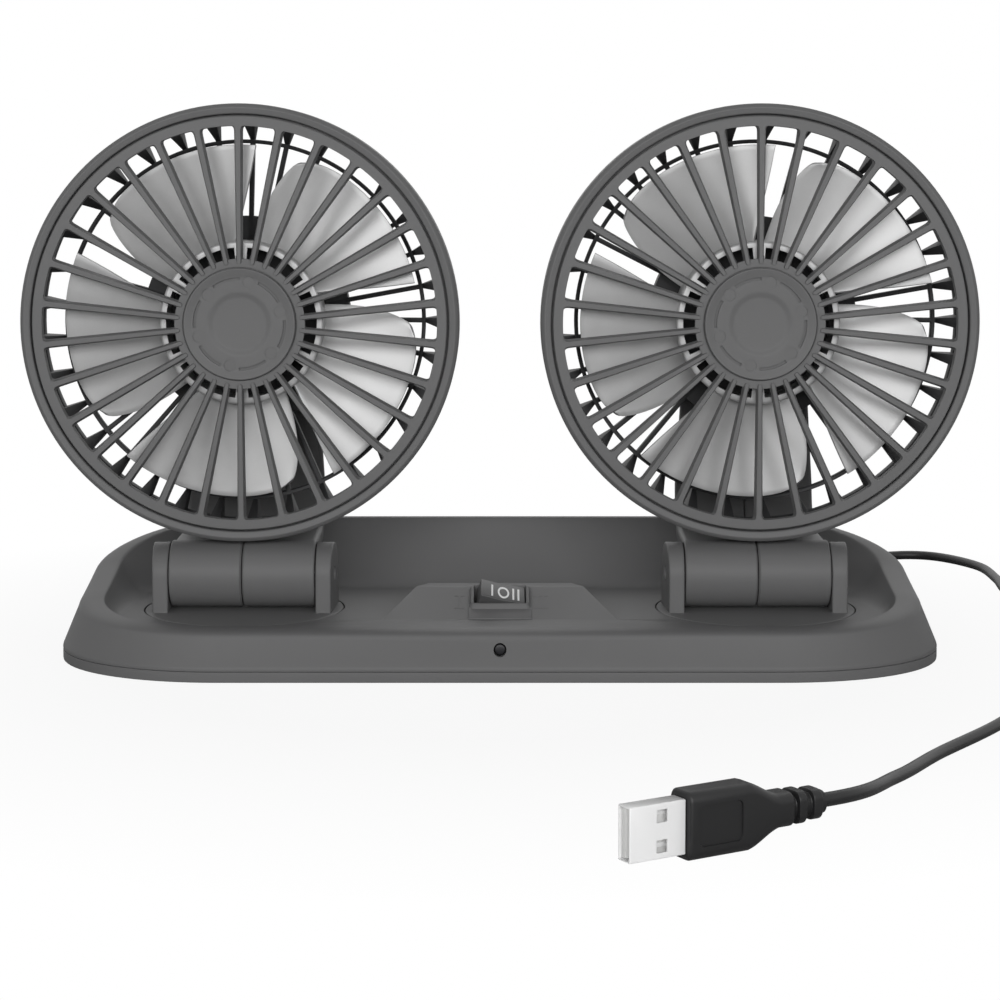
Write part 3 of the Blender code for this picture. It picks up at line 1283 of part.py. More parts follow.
def plug_frame():
    """Give the matrix of the plug: origin at the face its shell leaves, +X back along the cord."""
    angle = math.radians(PLUG_ANGLE)
    tip = Vector((PLUG_TIP_SIDE, PLUG_TIP_FRONT, PLUG_HEIGHT / 2))
    way = Vector((math.cos(angle), math.sin(angle), 0))
    face = tip - way * SHELL_LENGTH
    return Matrix.Translation(face) @ Matrix.Rotation(angle + math.pi, 4, "Z")


def plug_overmould():
    """The moulded body of the plug: a flat block, a taper and a ringed relief."""
    relief = PLUG_BODY_LENGTH + PLUG_TAPER_LENGTH
    sizes = [(0, PLUG_THICKNESS - PLUG_EDGE, PLUG_HEIGHT - PLUG_EDGE),
             (PLUG_EDGE / 2, PLUG_THICKNESS, PLUG_HEIGHT), (PLUG_BODY_LENGTH, PLUG_THICKNESS, PLUG_HEIGHT)]
    across = 2 * PLUG_RELIEF_RADIUS
    for ring in range(PLUG_RELIEF_RINGS):
        pitch = PLUG_RELIEF_LENGTH / PLUG_RELIEF_RINGS
        valley = across - 2 * PLUG_RELIEF_GROOVE
        sizes.append((relief + ring * pitch, across, across))
        sizes.append((relief + (ring + 0.5) * pitch, valley, valley))
    sizes.append((relief + PLUG_RELIEF_LENGTH, across - PLUG_RELIEF_GROOVE, across - PLUG_RELIEF_GROOVE))
    rings = []
    for along, thickness, height in sizes:
        corner = min(PLUG_CORNER, thickness * PLUG_ROUND_SHARE)
        outline = rounded_outline(thickness, height, corner, PLUG_STEPS)
        rings.append([(along, y, z) for y, z in outline])
    part = place_mesh("plug_overmould", lofted_mesh("plug_overmould", rings), "rubber")
    part.matrix_world = plug_frame()


def plug_contacts():
    """The plug's metal shell with its four windows, and the tongue inside it."""
    length = SHELL_LENGTH - CLEARANCE
    middle = -CLEARANCE - length / 2
    shell = box_mesh("plug_shell", length, SHELL_THICKNESS, SHELL_WIDTH, (middle, 0, 0))
    room = SHELL_THICKNESS - 2 * SHELL_WALL
    inside = box_mesh("inside", length + OVERRUN, room, SHELL_WIDTH - 2 * SHELL_WALL, (middle, 0, 0))
    shell = cut(shell, inside)
    for side in (-1, 1):
        spot = (-SHELL_WINDOW_BACK, 0, side * SHELL_WINDOW_SPREAD / 2)
        shell = cut(shell, box_mesh("window", SHELL_WINDOW, SHELL_THICKNESS + OVERRUN, SHELL_WINDOW, spot))
    part = place_mesh("plug_shell", shell, "steel")
    part.matrix_world = plug_frame()
    wide = SHELL_WIDTH - 2 * SHELL_WALL - 2 * CLEARANCE
    reach = length - TONGUE_SINK
    y = room / 2 - CLEARANCE - TONGUE_THICKNESS / 2
    tongue = box_mesh("plug_tongue", reach, TONGUE_THICKNESS, wide, (-CLEARANCE - reach / 2, y, 0))
    part = place_mesh("plug_tongue", tongue, "white")
    part.matrix_world = plug_frame()


def main():
    """Build the whole fan."""
    clear_scene()
    base_top_shell()
    base_bottom_cover()
    feet_and_screws()
    switch_housing()
    rocker()
    indicator_light()
    speed_board()
    heads()
    cord_gland()
    cord()
    cord_tie()
    plug_overmould()
    plug_contacts()


main()
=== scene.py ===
import math

import bmesh
import bpy
from mathutils import Matrix, Vector


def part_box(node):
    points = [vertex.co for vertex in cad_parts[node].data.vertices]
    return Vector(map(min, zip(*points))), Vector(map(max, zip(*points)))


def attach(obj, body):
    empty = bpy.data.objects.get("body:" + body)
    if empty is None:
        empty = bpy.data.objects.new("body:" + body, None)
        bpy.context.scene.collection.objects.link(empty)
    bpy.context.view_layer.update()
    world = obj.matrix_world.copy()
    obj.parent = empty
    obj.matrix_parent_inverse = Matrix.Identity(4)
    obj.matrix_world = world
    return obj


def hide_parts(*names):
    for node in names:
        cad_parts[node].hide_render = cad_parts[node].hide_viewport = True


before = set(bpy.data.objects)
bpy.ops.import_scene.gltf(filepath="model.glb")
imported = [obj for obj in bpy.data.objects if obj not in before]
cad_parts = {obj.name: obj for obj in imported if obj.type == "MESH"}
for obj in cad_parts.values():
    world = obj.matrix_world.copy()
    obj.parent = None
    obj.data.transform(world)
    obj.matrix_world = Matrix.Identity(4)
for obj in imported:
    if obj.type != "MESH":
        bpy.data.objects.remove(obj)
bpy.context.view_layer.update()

# Camera. It stands in front of the base, level with the fans' upper half, and looks slightly down. The photo
# was framed with its lens moved down, so that upright lines stay upright. All sizes are real ones, in
# metres, or in millimetres times MM. The camera's own lens and film are in plain millimetres.
MM = 0.001
CAMERA_DISTANCE = 735.1 * MM
CAMERA_HEIGHT = 148.2 * MM
CAMERA_DIP = math.radians(4.67)
CAMERA_LENS = 87.44
CAMERA_SHIFT = -0.14
FILM_WIDTH = 36

bpy.ops.object.camera_add(location=(0, -CAMERA_DISTANCE, CAMERA_HEIGHT),
                          rotation=(math.pi / 2 - CAMERA_DIP, 0, 0))
camera = bpy.context.object
camera.data.lens = CAMERA_LENS
camera.data.sensor_width = FILM_WIDTH
camera.data.shift_y = CAMERA_SHIFT
bpy.context.scene.camera = camera

# Lead. A round two-core cable in a soft matt black jacket, 3.2 mm thick. It leaves the back of the base,
# is wound into a coil out of view on the right, and comes back across the table to the plug.
CORD_DIAMETER = 3.2 * MM
CORD_RADIUS = CORD_DIAMETER / 2
CORD_ROUNDNESS = 4
CORD_SPACING = CORD_DIAMETER * 0.75
CURVE_STEPS = 48
PLUG_TIP = Vector((26 * MM, -235 * MM, 7.5 * MM))
PLUG_ANGLE = math.radians(211)
SHELL_LENGTH = 12 * MM
OVERMOULD_LENGTH = 40 * MM
SEAT_GAP = 0.3 * MM
GLAND_LENGTH = 14 * MM
GLAND_TIP = Vector((79 * MM, 0, 9 * MM))
LEAD_ROUTE = ((0.0800, 0.0800, 0.0066), (0.0850, 0.1010, 0.0018), (0.1070, 0.1350, 0.0016),
              (0.1400, 0.1600, 0.0016), (0.1600, 0.1620, 0.0016), (0.1735, 0.1400, 0.0016),
              (0.1750, 0.1130, 0.0016), (0.1735, 0.0880, 0.0016), (0.1765, 0.0680, 0.0019))
TAIL_ROUTE = ((0.1770, 0.0065, 0.0046), (0.1660, -0.0080, 0.0022), (0.1600, -0.0320, 0.0016),
              (0.1530, -0.0680, 0.0016), (0.1310, -0.1090, 0.0016), (0.1090, -0.1420, 0.0018),
              (0.0930, -0.1740, 0.0040))
COIL_CENTRE = Vector((194 * MM, 34 * MM, 2.8 * MM))
COIL_INNER_RADIUS = 12.5 * MM
COIL_STEP = 3.75 * MM
COIL_LAYER = 3.75 * MM
COIL_TURNS = 5.5
COIL_CLIMB_TURNS = 0.5
COIL_TURN_POINTS = 72
CLOUD_SIZE = 23 * MM
CLOUD_DETAIL = 3
CLOUD_SHARE = 0.7
DARKEST = 0.93
LIGHTEST = 1.07
SHEEN_SHARE = 2 / 3
SHEEN_CHANGE = 0.06
GRAIN_HEIGHT = 0.05 * MM


class Wire:
    """One socket of a material's nodes, so that sums on it are written as they are on paper."""

    def __init__(self, finish, socket):
        self.finish = finish
        self.socket = socket

    def sum(self, operation, first, second):
        return self.finish.node("ShaderNodeMath", {"operation": operation}, {0: first, 1: second})

    def __add__(self, other):
        return self.sum("ADD", self, other)

    def __mul__(self, other):
        return self.sum("MULTIPLY", self, other)

    def __rsub__(self, other):
        return self.sum("SUBTRACT", other, self)

    __radd__ = __add__
    __rmul__ = __mul__


class Finish:
    """A material and its shader; node() adds any one node and gives its output."""

    def __init__(self, name, colour, roughness, metallic=0.0, gloss=0.5):
        self.material = bpy.data.materials.new(name)
        self.material.use_nodes = True
        self.tree = self.material.node_tree
        self.shader = self.tree.nodes["Principled BSDF"]
        self.colour = colour
        self.place = self.node("ShaderNodeTexCoord", out="Object")
        self.feed(self.shader, "Base Color", (*colour, 1))
        self.feed(self.shader, "Roughness", roughness)
        self.feed(self.shader, "Metallic", metallic)
        self.feed(self.shader, "Specular IOR Level", gloss)

    def feed(self, node, name, value):
        socket = node.inputs[name]
        if isinstance(value, Wire):
            self.tree.links.new(value.socket, socket)
        else:
            socket.default_value = value

    def node(self, kind, settings=None, sockets=None, out=0):
        made = self.tree.nodes.new(kind)
        for name, value in (settings or {}).items():
            setattr(made, name, value)
        for name, value in (sockets or {}).items():
            self.feed(made, name, value)
        return Wire(self, made.outputs[out])

    def noise(self, size, detail=2.0, stretch=(1, 1, 1)):
        """A cloudy pattern whose spots are about that size, drawn out along an axis by a smaller stretch."""
        spread = self.node("ShaderNodeMapping", None, {"Vector": self.place, "Scale": stretch})
        return self.node("ShaderNodeTexNoise", None, {"Vector": spread, "Scale": 1 / size, "Detail": detail})

    def tint(self, amount, darker, lighter):
        """Shade the colour between two strengths of itself."""
        low, high = [(*(part * strength for part in self.colour), 1) for strength in (darker, lighter)]
        shade = self.node("ShaderNodeMix", {"data_type": "RGBA"}, {0: amount, 6: low, 7: high}, 2)
        self.feed(self.shader, "Base Color", shade)

    def sheen(self, amount, smoothest, roughest):
        """Let the roughness follow a pattern between two ends."""
        self.feed(self.shader, "Roughness", smoothest + (roughest - smoothest) * amount)

    def grain(self, height, depth, distance):
        """Raise the surface by a pattern."""
        bump = self.node("ShaderNodeBump", None, {"Height": height, "Strength": depth, "Distance": distance})
        self.feed(self.shader, "Normal", bump)


def mixed(first, second, share):
    """Mix two patterns, with the first one's share."""
    return share * first + (1 - share) * second


def moulded(name, colour, roughness, grain_size, grain_depth, gloss):
    """A moulded plastic or rubber: fine spark-eroded grain, and faint clouds in its shade and its sheen."""
    finish = Finish(name, colour, roughness, gloss=gloss)
    clouds = finish.noise(CLOUD_SIZE, CLOUD_DETAIL)
    fine = finish.noise(grain_size)
    finish.tint(mixed(clouds, fine, CLOUD_SHARE), DARKEST, LIGHTEST)
    finish.sheen(mixed(clouds, fine, SHEEN_SHARE), roughness - SHEEN_CHANGE, roughness + SHEEN_CHANGE)
    finish.grain(fine, grain_depth, GRAIN_HEIGHT)
    return finish


def smooth_route(route, start_way, end_way):
    """Read a smooth curve through a cord's own points, with a straight run of a diameter at each end."""
    spots = [Vector(spot) for spot in route]
    start, end = spots[0], spots[-1]
    spots[0] = start + CORD_DIAMETER * start_way
    spots[-1] = end - CORD_DIAMETER * end_way
    spots = [spots[1] - 2 * (spots[1] - spots[0]).length * start_way] + spots
    spots.append(spots[-2] + 2 * (spots[-1] - spots[-2]).length * end_way)
    fine = [start]
    for before, first, second, after in zip(spots, spots[1:], spots[2:], spots[3:]):
        leave = (second - before) / 2
        arrive = (after - first) / 2
        for step in range(CURVE_STEPS):
            share = step / CURVE_STEPS
            square = share ** 2
            cube = share ** 3
            spot = (first * (2 * cube - 3 * square + 1) + leave * (cube - 2 * square + share)
                    + second * (3 * square - 2 * cube) + arrive * (cube - square))
            if (spot - fine[-1]).length >= CORD_SPACING:
                fine.append(spot)
    return fine + [end]


def coil_points():
    """Wind the coil: in on the lower layer, up in the middle half turn, and out again."""
    points = []
    for number in range(round(COIL_TURNS * COIL_TURN_POINTS) + 1):
        turn = number / COIL_TURN_POINTS
        from_middle = turn - COIL_TURNS / 2
        radius = COIL_INNER_RADIUS + COIL_STEP * abs(from_middle)
        climb = min(1, max(0, from_middle / COIL_CLIMB_TURNS + 0.5))
        angle = math.pi / 2 - math.tau * turn
        rise = COIL_LAYER * climb * climb * (3 - 2 * climb)
        points.append(COIL_CENTRE + Vector((radius * math.cos(angle), radius * math.sin(angle), rise)))
    back = Vector((-CORD_DIAMETER, 0, 0))
    return [points[0] + back] + points + [points[-1] + back]


def cord_points():
    """Give the whole lead's middle line, from the gland's tip to the plug's relief."""
    right = Vector((1, 0, 0))
    coil = coil_points()
    lead = smooth_route((gland_tip, *LEAD_ROUTE, coil[0]), Vector((0, 1, 0)), right)
    plug_way = Vector((math.cos(PLUG_ANGLE), math.sin(PLUG_ANGLE), 0))
    plug_end = PLUG_TIP - plug_way * (SHELL_LENGTH + OVERMOULD_LENGTH + SEAT_GAP)
    tail = smooth_route((coil[-1], *TAIL_ROUTE, plug_end), -right, plug_way)
    return lead + coil[1:] + tail[1:]


gland_low, gland_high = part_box("cord_strain_relief")
gland_tip = Vector((GLAND_TIP.x, gland_high.y + SEAT_GAP, GLAND_TIP.z))
lead_line = cord_points()
lead_curve = bpy.data.curves.new("lead", "CURVE")
lead_curve.dimensions = "3D"
lead_curve.bevel_depth = CORD_RADIUS
lead_curve.bevel_resolution = CORD_ROUNDNESS
lead_curve.use_fill_caps = True
spline = lead_curve.splines.new("POLY")
spline.points.add(len(lead_line) - 1)
for spot, point in zip(spline.points, lead_line):
    spot.co = (*point, 1)
spline.use_smooth = True
lead = bpy.data.objects.new("lead", lead_curve)
bpy.context.scene.collection.objects.link(lead)
jacket = moulded("cord_jacket", (0.013, 0.013, 0.0135), roughness=0.45, grain_size=0.35 * MM,
                 grain_depth=0.25, gloss=0.35)
lead_curve.materials.append(jacket.material)
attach(lead, "base")
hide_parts("cord_lead", "cord_coil", "cord_tail")

# Bottom cover. A flat grey plate with a low rim round its edge, moulded, that closes the base from below.
# Its pockets hold four glued rubber feet and the heads of the four screws that clamp it to the top shell.
MERGE = 0.001 * MM
OVERRUN = 1 * MM
BASE_WIDTH = 262 * MM
BASE_DEPTH = 108 * MM
CORNER_LENGTH = 50 * MM
CORNER_DEPTH = 41 * MM
CORNER_STEPS = 22
END_STEPS = 8
COVER_LOW = 0.8 * MM
COVER_HIGH = 3.38 * MM
COVER_BEVEL = 0.5 * MM
COVER_SKIRT_LOW = 0.3 * MM
COVER_SKIRT_WIDTH = 1.6 * MM
COVER_CREASE = 0.1 * MM
LINE_CHAMFER = 0.14 * MM
FOOT_RADIUS = 6 * MM
FOOT_EDGE = 0.4 * MM
FOOT_POCKET = 1 * MM
FOOT_INSET = 17 * MM
SCREW_SPREAD = 40 * MM
SCREW_BACK = 14 * MM
SCREW_FRONT = 37 * MM
SCREW_HEAD_RADIUS = 2.4 * MM
SCREW_HEAD_HEIGHT = 1.3 * MM
SCREW_RADIUS = 1.1 * MM
FINE_STEPS = 96
SMALL_STEPS = 40
SHARP_ANGLE = math.radians(32)
CORNER_LIMIT = 0.45
QUARTERS = ((1, 1), (-1, 1), (-1, -1), (1, -1))


def start_fresh():
    """Let go of everything, so that an operator acts on the new piece alone."""
    if bpy.context.object and bpy.context.object.mode != "OBJECT":
        bpy.ops.object.mode_set(mode="OBJECT")
    bpy.ops.object.select_all(action="DESELECT")


def take(piece):
    """Make one piece the selected and active one."""
    start_fresh()
    piece.select_set(True)
    bpy.context.view_layer.objects.active = piece


def tidied(piece):
    """Merge what meets, turn the faces outwards and leave edit mode."""
    bpy.ops.mesh.select_all(action="SELECT")
    bpy.ops.mesh.remove_doubles(threshold=MERGE)
    bpy.ops.mesh.normals_make_consistent(inside=False)
    bpy.ops.object.mode_set(mode="OBJECT")
    return piece


def eased(outline, radius, closed=True, steps=3):
    """Round the corners of an outline by one radius, or by one for each corner."""
    points = [Vector(point) for point in outline]
    radii = radius if isinstance(radius, list) else [radius] * len(points)
    round_off = []
    for index, (corner, radius) in enumerate(zip(points, radii)):
        if not radius or not closed and index in (0, len(points) - 1):
            round_off.append(corner)
            continue
        before = points[index - 1] - corner
        after = points[(index + 1) % len(points)] - corner
        first = corner + before * min(radius / max(before.length, MERGE), CORNER_LIMIT)
        last = corner + after * min(radius / max(after.length, MERGE), CORNER_LIMIT)
        for step in range(steps + 1):
            share = step / steps
            round_off.append(first.lerp(corner, share).lerp(corner.lerp(last, share), share))
    return round_off


def lofted(name, rings):
    """Extrude an outline ring by ring, put each ring in its place, and fill the two ends."""
    start_fresh()
    count = len(rings[0])
    bpy.ops.mesh.primitive_circle_add(vertices=count, radius=MM)
    piece = bpy.context.object
    piece.name = name
    bpy.ops.object.mode_set(mode="EDIT")
    bpy.ops.mesh.select_all(action="SELECT")
    for ring in rings[1:]:
        bpy.ops.mesh.extrude_edges_move()
    shape = bmesh.from_edit_mesh(piece.data)
    shape.verts.ensure_lookup_table()
    for number, place in enumerate(place for ring in rings for place in ring):
        shape.verts[number].co = place
    for end in (shape.verts[:count], shape.verts[-count:]):
        bpy.ops.mesh.select_all(action="DESELECT")
        for spot in end:
            spot.select = True
        shape.select_flush(True)
        bmesh.update_edit_mesh(piece.data)
        bpy.ops.mesh.edge_face_add()
    return tidied(piece)


def stepped(start, *steps):
    """Give the profile of a round solid on its axis, from its start by way of each step's radius and end."""
    profile = [(0, start)]
    for radius, end in steps:
        profile += [(radius, start), (radius, end)]
        start = end
    return profile + [(0, start)]


def turned(name, profile, steps=FINE_STEPS, centre=(0, 0, 0), axis="Y", closed=False):
    """Draw a profile of (radius, place along the axis) edge by edge, and spin it about the axis."""
    start_fresh()
    ways = {"X": ((0, 0, 1), (1, 0, 0)), "Y": ((1, 0, 0), (0, 1, 0)), "Z": ((1, 0, 0), (0, 0, 1))}
    out, along = (Vector(way) for way in ways[axis])
    places = [Vector(centre) + out * radius + along * place for radius, place in profile]
    if closed:
        places.append(places[0])
    bpy.ops.mesh.primitive_plane_add(size=MM)
    piece = bpy.context.object
    piece.name = name
    bpy.ops.object.mode_set(mode="EDIT")
    bpy.ops.mesh.merge(type="CENTER")
    bpy.ops.transform.translate(value=places[0])
    for before, after in zip(places, places[1:]):
        bpy.ops.mesh.extrude_region_move(TRANSFORM_OT_translate={"value": after - before})
    bpy.ops.mesh.select_all(action="SELECT")
    bpy.ops.mesh.spin(steps=steps, angle=math.tau, center=centre, axis=along)
    return tidied(piece)


def combined(piece, tool, operation="DIFFERENCE"):
    """Cut a tool out of a piece, or fuse it on, and throw the tool away."""
    take(piece)
    change = piece.modifiers.new("change", "BOOLEAN")
    change.operation = operation
    change.solver = "EXACT"
    change.object = tool
    bpy.ops.object.modifier_apply(modifier=change.name)
    take(tool)
    bpy.ops.object.delete()
    return piece


def drilled(piece, profile, steps=SMALL_STEPS, centre=(0, 0, 0), axis="Z"):
    """Cut a turned tool out of a piece."""
    return combined(piece, turned("drill", profile, steps, centre, axis))


def block(name, size, centre=(0, 0, 0), edge=0.0, segments=3):
    """A block with rounded edges, drawn about a centre."""
    start_fresh()
    bpy.ops.mesh.primitive_cube_add(size=1)
    piece = bpy.context.object
    piece.name = name
    bpy.ops.object.mode_set(mode="EDIT")
    bpy.ops.transform.resize(value=size)
    bpy.ops.transform.translate(value=centre)
    if edge:
        bpy.ops.mesh.bevel(offset=edge, segments=segments)
    return tidied(piece)


def softened(piece, width, segments=2, angle=SHARP_ANGLE):
    """Round the sharp edges of a piece."""
    take(piece)
    bevel = piece.modifiers.new("edges", "BEVEL")
    bevel.width = width
    bevel.segments = segments
    bevel.limit_method = "ANGLE"
    bevel.angle_limit = angle
    bpy.ops.object.modifier_apply(modifier=bevel.name)
    return piece


def fitted(piece, finish, body, slot, *nodes):
    """Finish a piece: smooth its round faces, give it its material and put it where its node is."""
    take(piece)
    bpy.ops.object.shade_smooth_by_angle(angle=SHARP_ANGLE)
    piece.data.materials.clear()
    piece.data.materials.append(finish.material)
    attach(piece, body)
    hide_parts(*nodes)
    return piece


def copied(piece, name, move):
    """Copy a piece, with its own mesh, to another place."""
    take(piece)
    bpy.ops.object.duplicate()
    twin = bpy.context.object
    twin.name = name
    bpy.ops.object.mode_set(mode="EDIT")
    bpy.ops.mesh.select_all(action="SELECT")
    bpy.ops.transform.translate(value=move)
    bpy.ops.object.mode_set(mode="OBJECT")
    return twin


def base_stations():
    """Walk round the base's outline: a corner centre and the way out of it at each station."""
    centre_x = BASE_WIDTH / 2 - CORNER_LENGTH
    centre_y = BASE_DEPTH / 2 - CORNER_DEPTH
    stations = []
    for quarter, (side, end) in enumerate(QUARTERS):
        for step in range(CORNER_STEPS + 1):
            angle = math.pi / 2 * (quarter + step / CORNER_STEPS)
            stations.append((side * centre_x, end * centre_y, math.cos(angle), math.sin(angle)))
        if side == end:
            continue
        for step in range(1, END_STEPS):
            share = 1 - 2 * step / END_STEPS
            stations.append((side * centre_x, end * centre_y * share, side, 0))
    return stations


def base_point(station, inset, height):
    """Give the point of a station at a distance in from the outline."""
    x, y, out_x, out_y = station
    return (x + out_x * (CORNER_LENGTH - inset), y + out_y * (CORNER_DEPTH - inset), height)


grey = moulded("grey_housing_plastic", (0.142, 0.142, 0.143), roughness=0.5, grain_size=0.32 * MM,
               grain_depth=0.2, gloss=0.2)
rubber = moulded("foot_rubber", (0.02, 0.02, 0.02), roughness=0.8, grain_size=0.5 * MM, grain_depth=0.4,
                 gloss=0.3)

bottom_section = ((COVER_SKIRT_WIDTH + LINE_CHAMFER, COVER_LOW), (COVER_SKIRT_WIDTH, COVER_LOW),
                  (COVER_SKIRT_WIDTH, COVER_SKIRT_LOW), (0, COVER_SKIRT_LOW), (0, COVER_HIGH),
                  (LINE_CHAMFER, COVER_HIGH))
bottom_section = eased(bottom_section, [0, 0, COVER_CREASE, COVER_BEVEL, LINE_CHAMFER, 0], closed=False)
bottom_cover = lofted("bottom_cover", [[base_point(station, inset, height) for station in base_stations()]
                                       for inset, height in bottom_section])
foot_places = [(side * (BASE_WIDTH / 2 - CORNER_LENGTH), end * (BASE_DEPTH / 2 - FOOT_INSET))
               for side in (-1, 1) for end in (-1, 1)]
screw_places = [(side * SCREW_SPREAD, y) for side in (-1, 1) for y in (-SCREW_FRONT, SCREW_BACK)]
shank = SCREW_RADIUS + SEAT_GAP
foot_pocket = stepped(0, (FOOT_RADIUS + SEAT_GAP, COVER_LOW + FOOT_POCKET))
screw_pocket = stepped(0, (SCREW_HEAD_RADIUS + SEAT_GAP, COVER_LOW + SCREW_HEAD_HEIGHT),
                       (shank, COVER_HIGH + OVERRUN))
for pocket, places in ((foot_pocket, foot_places), (screw_pocket, screw_places)):
    for x, y in places:
        drilled(bottom_cover, pocket, SMALL_STEPS, (x, y, 0))
fitted(bottom_cover, grey, "base", "grey_plastic", "base_bottom_cover")

foot_section = stepped(0, (FOOT_RADIUS, COVER_LOW + FOOT_POCKET - SEAT_GAP))
for number, (x, y) in enumerate(foot_places, 1):
    foot = turned(f"foot_{number}", eased(foot_section, FOOT_EDGE, closed=False), SMALL_STEPS, (x, y, 0), "Z")
    fitted(foot, rubber, "base", "rubber", f"rubber_foot_{number}")

# Top shell. The tray of the base, injection moulded in grey ABS with a fine grain. Its wall sweeps from a
# low crest in front to a high one behind the heads. The switch panel and both turntable wells are part of it.
PART_LINE = 3.5 * MM
WALL = 2.2 * MM
UPRIGHT_TOP = 4.6 * MM
DISH_HEIGHT = 14 * MM
FRONT_RISE = 0.6 * MM
BACK_RISE = 20 * MM
RISE_EXPONENT = 1.6
LIP_INSET = 10.5 * MM
BACK_LIP_EXTRA = 1.5 * MM
LIP_FLAT = 1.5 * MM
LIP_EDGE = 0.8 * MM
UPRIGHT_EDGE = 0.4 * MM
HOLLOW_FIRST_STEP = 3
SHOULDER_RUN = 6 * MM
SHOULDER_DROP = 2.2 * MM
SHOULDER_STEPS = 8
DISH_RUN = 2 * MM
DISH_RUN_PER_RISE = 0.82
DISH_STEPS = 14
HEAD_SPACING = 154.1 * MM
SWIVEL_BACK = -10 * MM
TURNTABLE_RADIUS = 29.8 * MM
TURNTABLE_THICKNESS = 2.3 * MM
WELL_FLOOR = 2.7 * MM
WELL_RIM = 2.5 * MM
NECK_RADIUS = 20 * MM
SCREW_BOSS_RADIUS = 3.2 * MM
PANEL_FRONT = -29.5 * MM
PANEL_LENGTH = 18 * MM
PANEL_RISE = 6.8 * MM
PANEL_TOP_DEPTH = 6 * MM
PANEL_BACK_RUN = 2 * MM
PANEL_FRONT_WIDTH = 70 * MM
PANEL_TOP_WIDTH = 51 * MM
PANEL_BACK_WIDTH = 43.6 * MM
PANEL_EDGE = 0.7 * MM
PANEL_EDGE_STEPS = 4
PANEL_EDGE_ANGLE = math.radians(12)
PAD_WIDTH = 18.8 * MM
PAD_RISE = 0.4 * MM
BEZEL_DEPTH = 12.6 * MM
BEZEL_TOP_MARGIN = 1.4 * MM
SWITCH_BODY_WIDTH = 16.2 * MM
SWITCH_BODY_DEPTH = 10.6 * MM
SWITCH_BODY_HEIGHT = 9 * MM
LIGHT_HEIGHT = 9.3 * MM
LIGHT_HOLE_RADIUS = 1.85 * MM
GLAND_HOLE_RADIUS = 3.2 * MM


def wall_form(y):
    """Give the rise of the wall above the dish, and the inset of its lip, at a place along the depth."""
    share = (y / BASE_DEPTH + 0.5) ** RISE_EXPONENT
    return FRONT_RISE + (BACK_RISE - FRONT_RISE) * share, LIP_INSET + BACK_LIP_EXTRA * share


def dish_point(rise, inset, share):
    """Give the inset, height and slope of the inner wall at a share of its run."""
    run = DISH_RUN + DISH_RUN_PER_RISE * rise
    slope = math.atan2(2 * rise * (1 - share), run)
    return inset + LIP_FLAT + run * share, DISH_HEIGHT + rise * (1 - share) ** 2, slope


def outer_section(y):
    """Give the shell's outer section, from the parting line up over the lip and down to the dish."""
    rise, inset = wall_form(y)
    top = DISH_HEIGHT + rise
    section = eased(((LINE_CHAMFER, PART_LINE), (0, PART_LINE + LINE_CHAMFER), (0, UPRIGHT_TOP),
                     (inset - SHOULDER_RUN, top - SHOULDER_DROP)), UPRIGHT_EDGE, closed=False)
    for step in range(1, SHOULDER_STEPS + 1):
        turn = math.pi / 2 * step / SHOULDER_STEPS
        section.append((inset - SHOULDER_RUN * math.cos(turn), top - SHOULDER_DROP * (1 - math.sin(turn))))
    lip = [section.pop(), (inset + LIP_FLAT, top), dish_point(rise, inset, 1 / DISH_STEPS)[:2]]
    section += eased(lip, LIP_EDGE, closed=False)
    for step in range(2, DISH_STEPS + 1):
        section.append(dish_point(rise, inset, step / DISH_STEPS)[:2])
    return section


def inner_section(y):
    """Give the hollow's section, one wall inside the outer one."""
    rise, inset = wall_form(y)
    top = DISH_HEIGHT + rise
    section = [(WALL, PART_LINE - OVERRUN), (WALL, UPRIGHT_TOP),
               (inset - SHOULDER_RUN + WALL, top - SHOULDER_DROP - WALL / 2),
               (inset + LIP_FLAT / 2, top - WALL)]
    for step in range(HOLLOW_FIRST_STEP, DISH_STEPS + 1):
        along, height, slope = dish_point(rise, inset, step / DISH_STEPS)
        section.append((along - WALL * math.sin(slope), height - WALL * math.cos(slope)))
    return section


def shell_rings(section_for):
    """Give the rings that join the sections of all stations."""
    stations = base_stations()
    sections = [section_for(base_point(station, 0, 0)[1]) for station in stations]
    return [[base_point(station, *section[level]) for station, section in zip(stations, sections)]
            for level in range(len(sections[0]))]


def panel_wedge():
    """Draw the raised panel: a block whose corners are drawn in to its sloping face and narrow back."""
    wedge = block("panel", (1, 1, 1))
    sink = WALL / 2
    run = sink * PANEL_LENGTH / PANEL_RISE
    spread = run * (PANEL_FRONT_WIDTH - PANEL_TOP_WIDTH) / PANEL_LENGTH
    ridge = PANEL_FRONT + PANEL_LENGTH
    back = ridge + PANEL_TOP_DEPTH
    corners = {(-1, -1): (PANEL_FRONT_WIDTH + spread, PANEL_FRONT - run, -sink),
               (-1, 1): (PANEL_TOP_WIDTH, ridge, PANEL_RISE),
               (1, 1): (PANEL_BACK_WIDTH, back, PANEL_RISE),
               (1, -1): (PANEL_TOP_WIDTH, back + PANEL_BACK_RUN, -sink)}
    for spot in wedge.data.vertices:
        width, y, rise = corners[(1 if spot.co.y > 0 else -1, 1 if spot.co.z > 0 else -1)]
        spot.co = (math.copysign(width / 2, spot.co.x), y, DISH_HEIGHT + rise)
    return softened(wedge, PANEL_EDGE, PANEL_EDGE_STEPS, PANEL_EDGE_ANGLE)


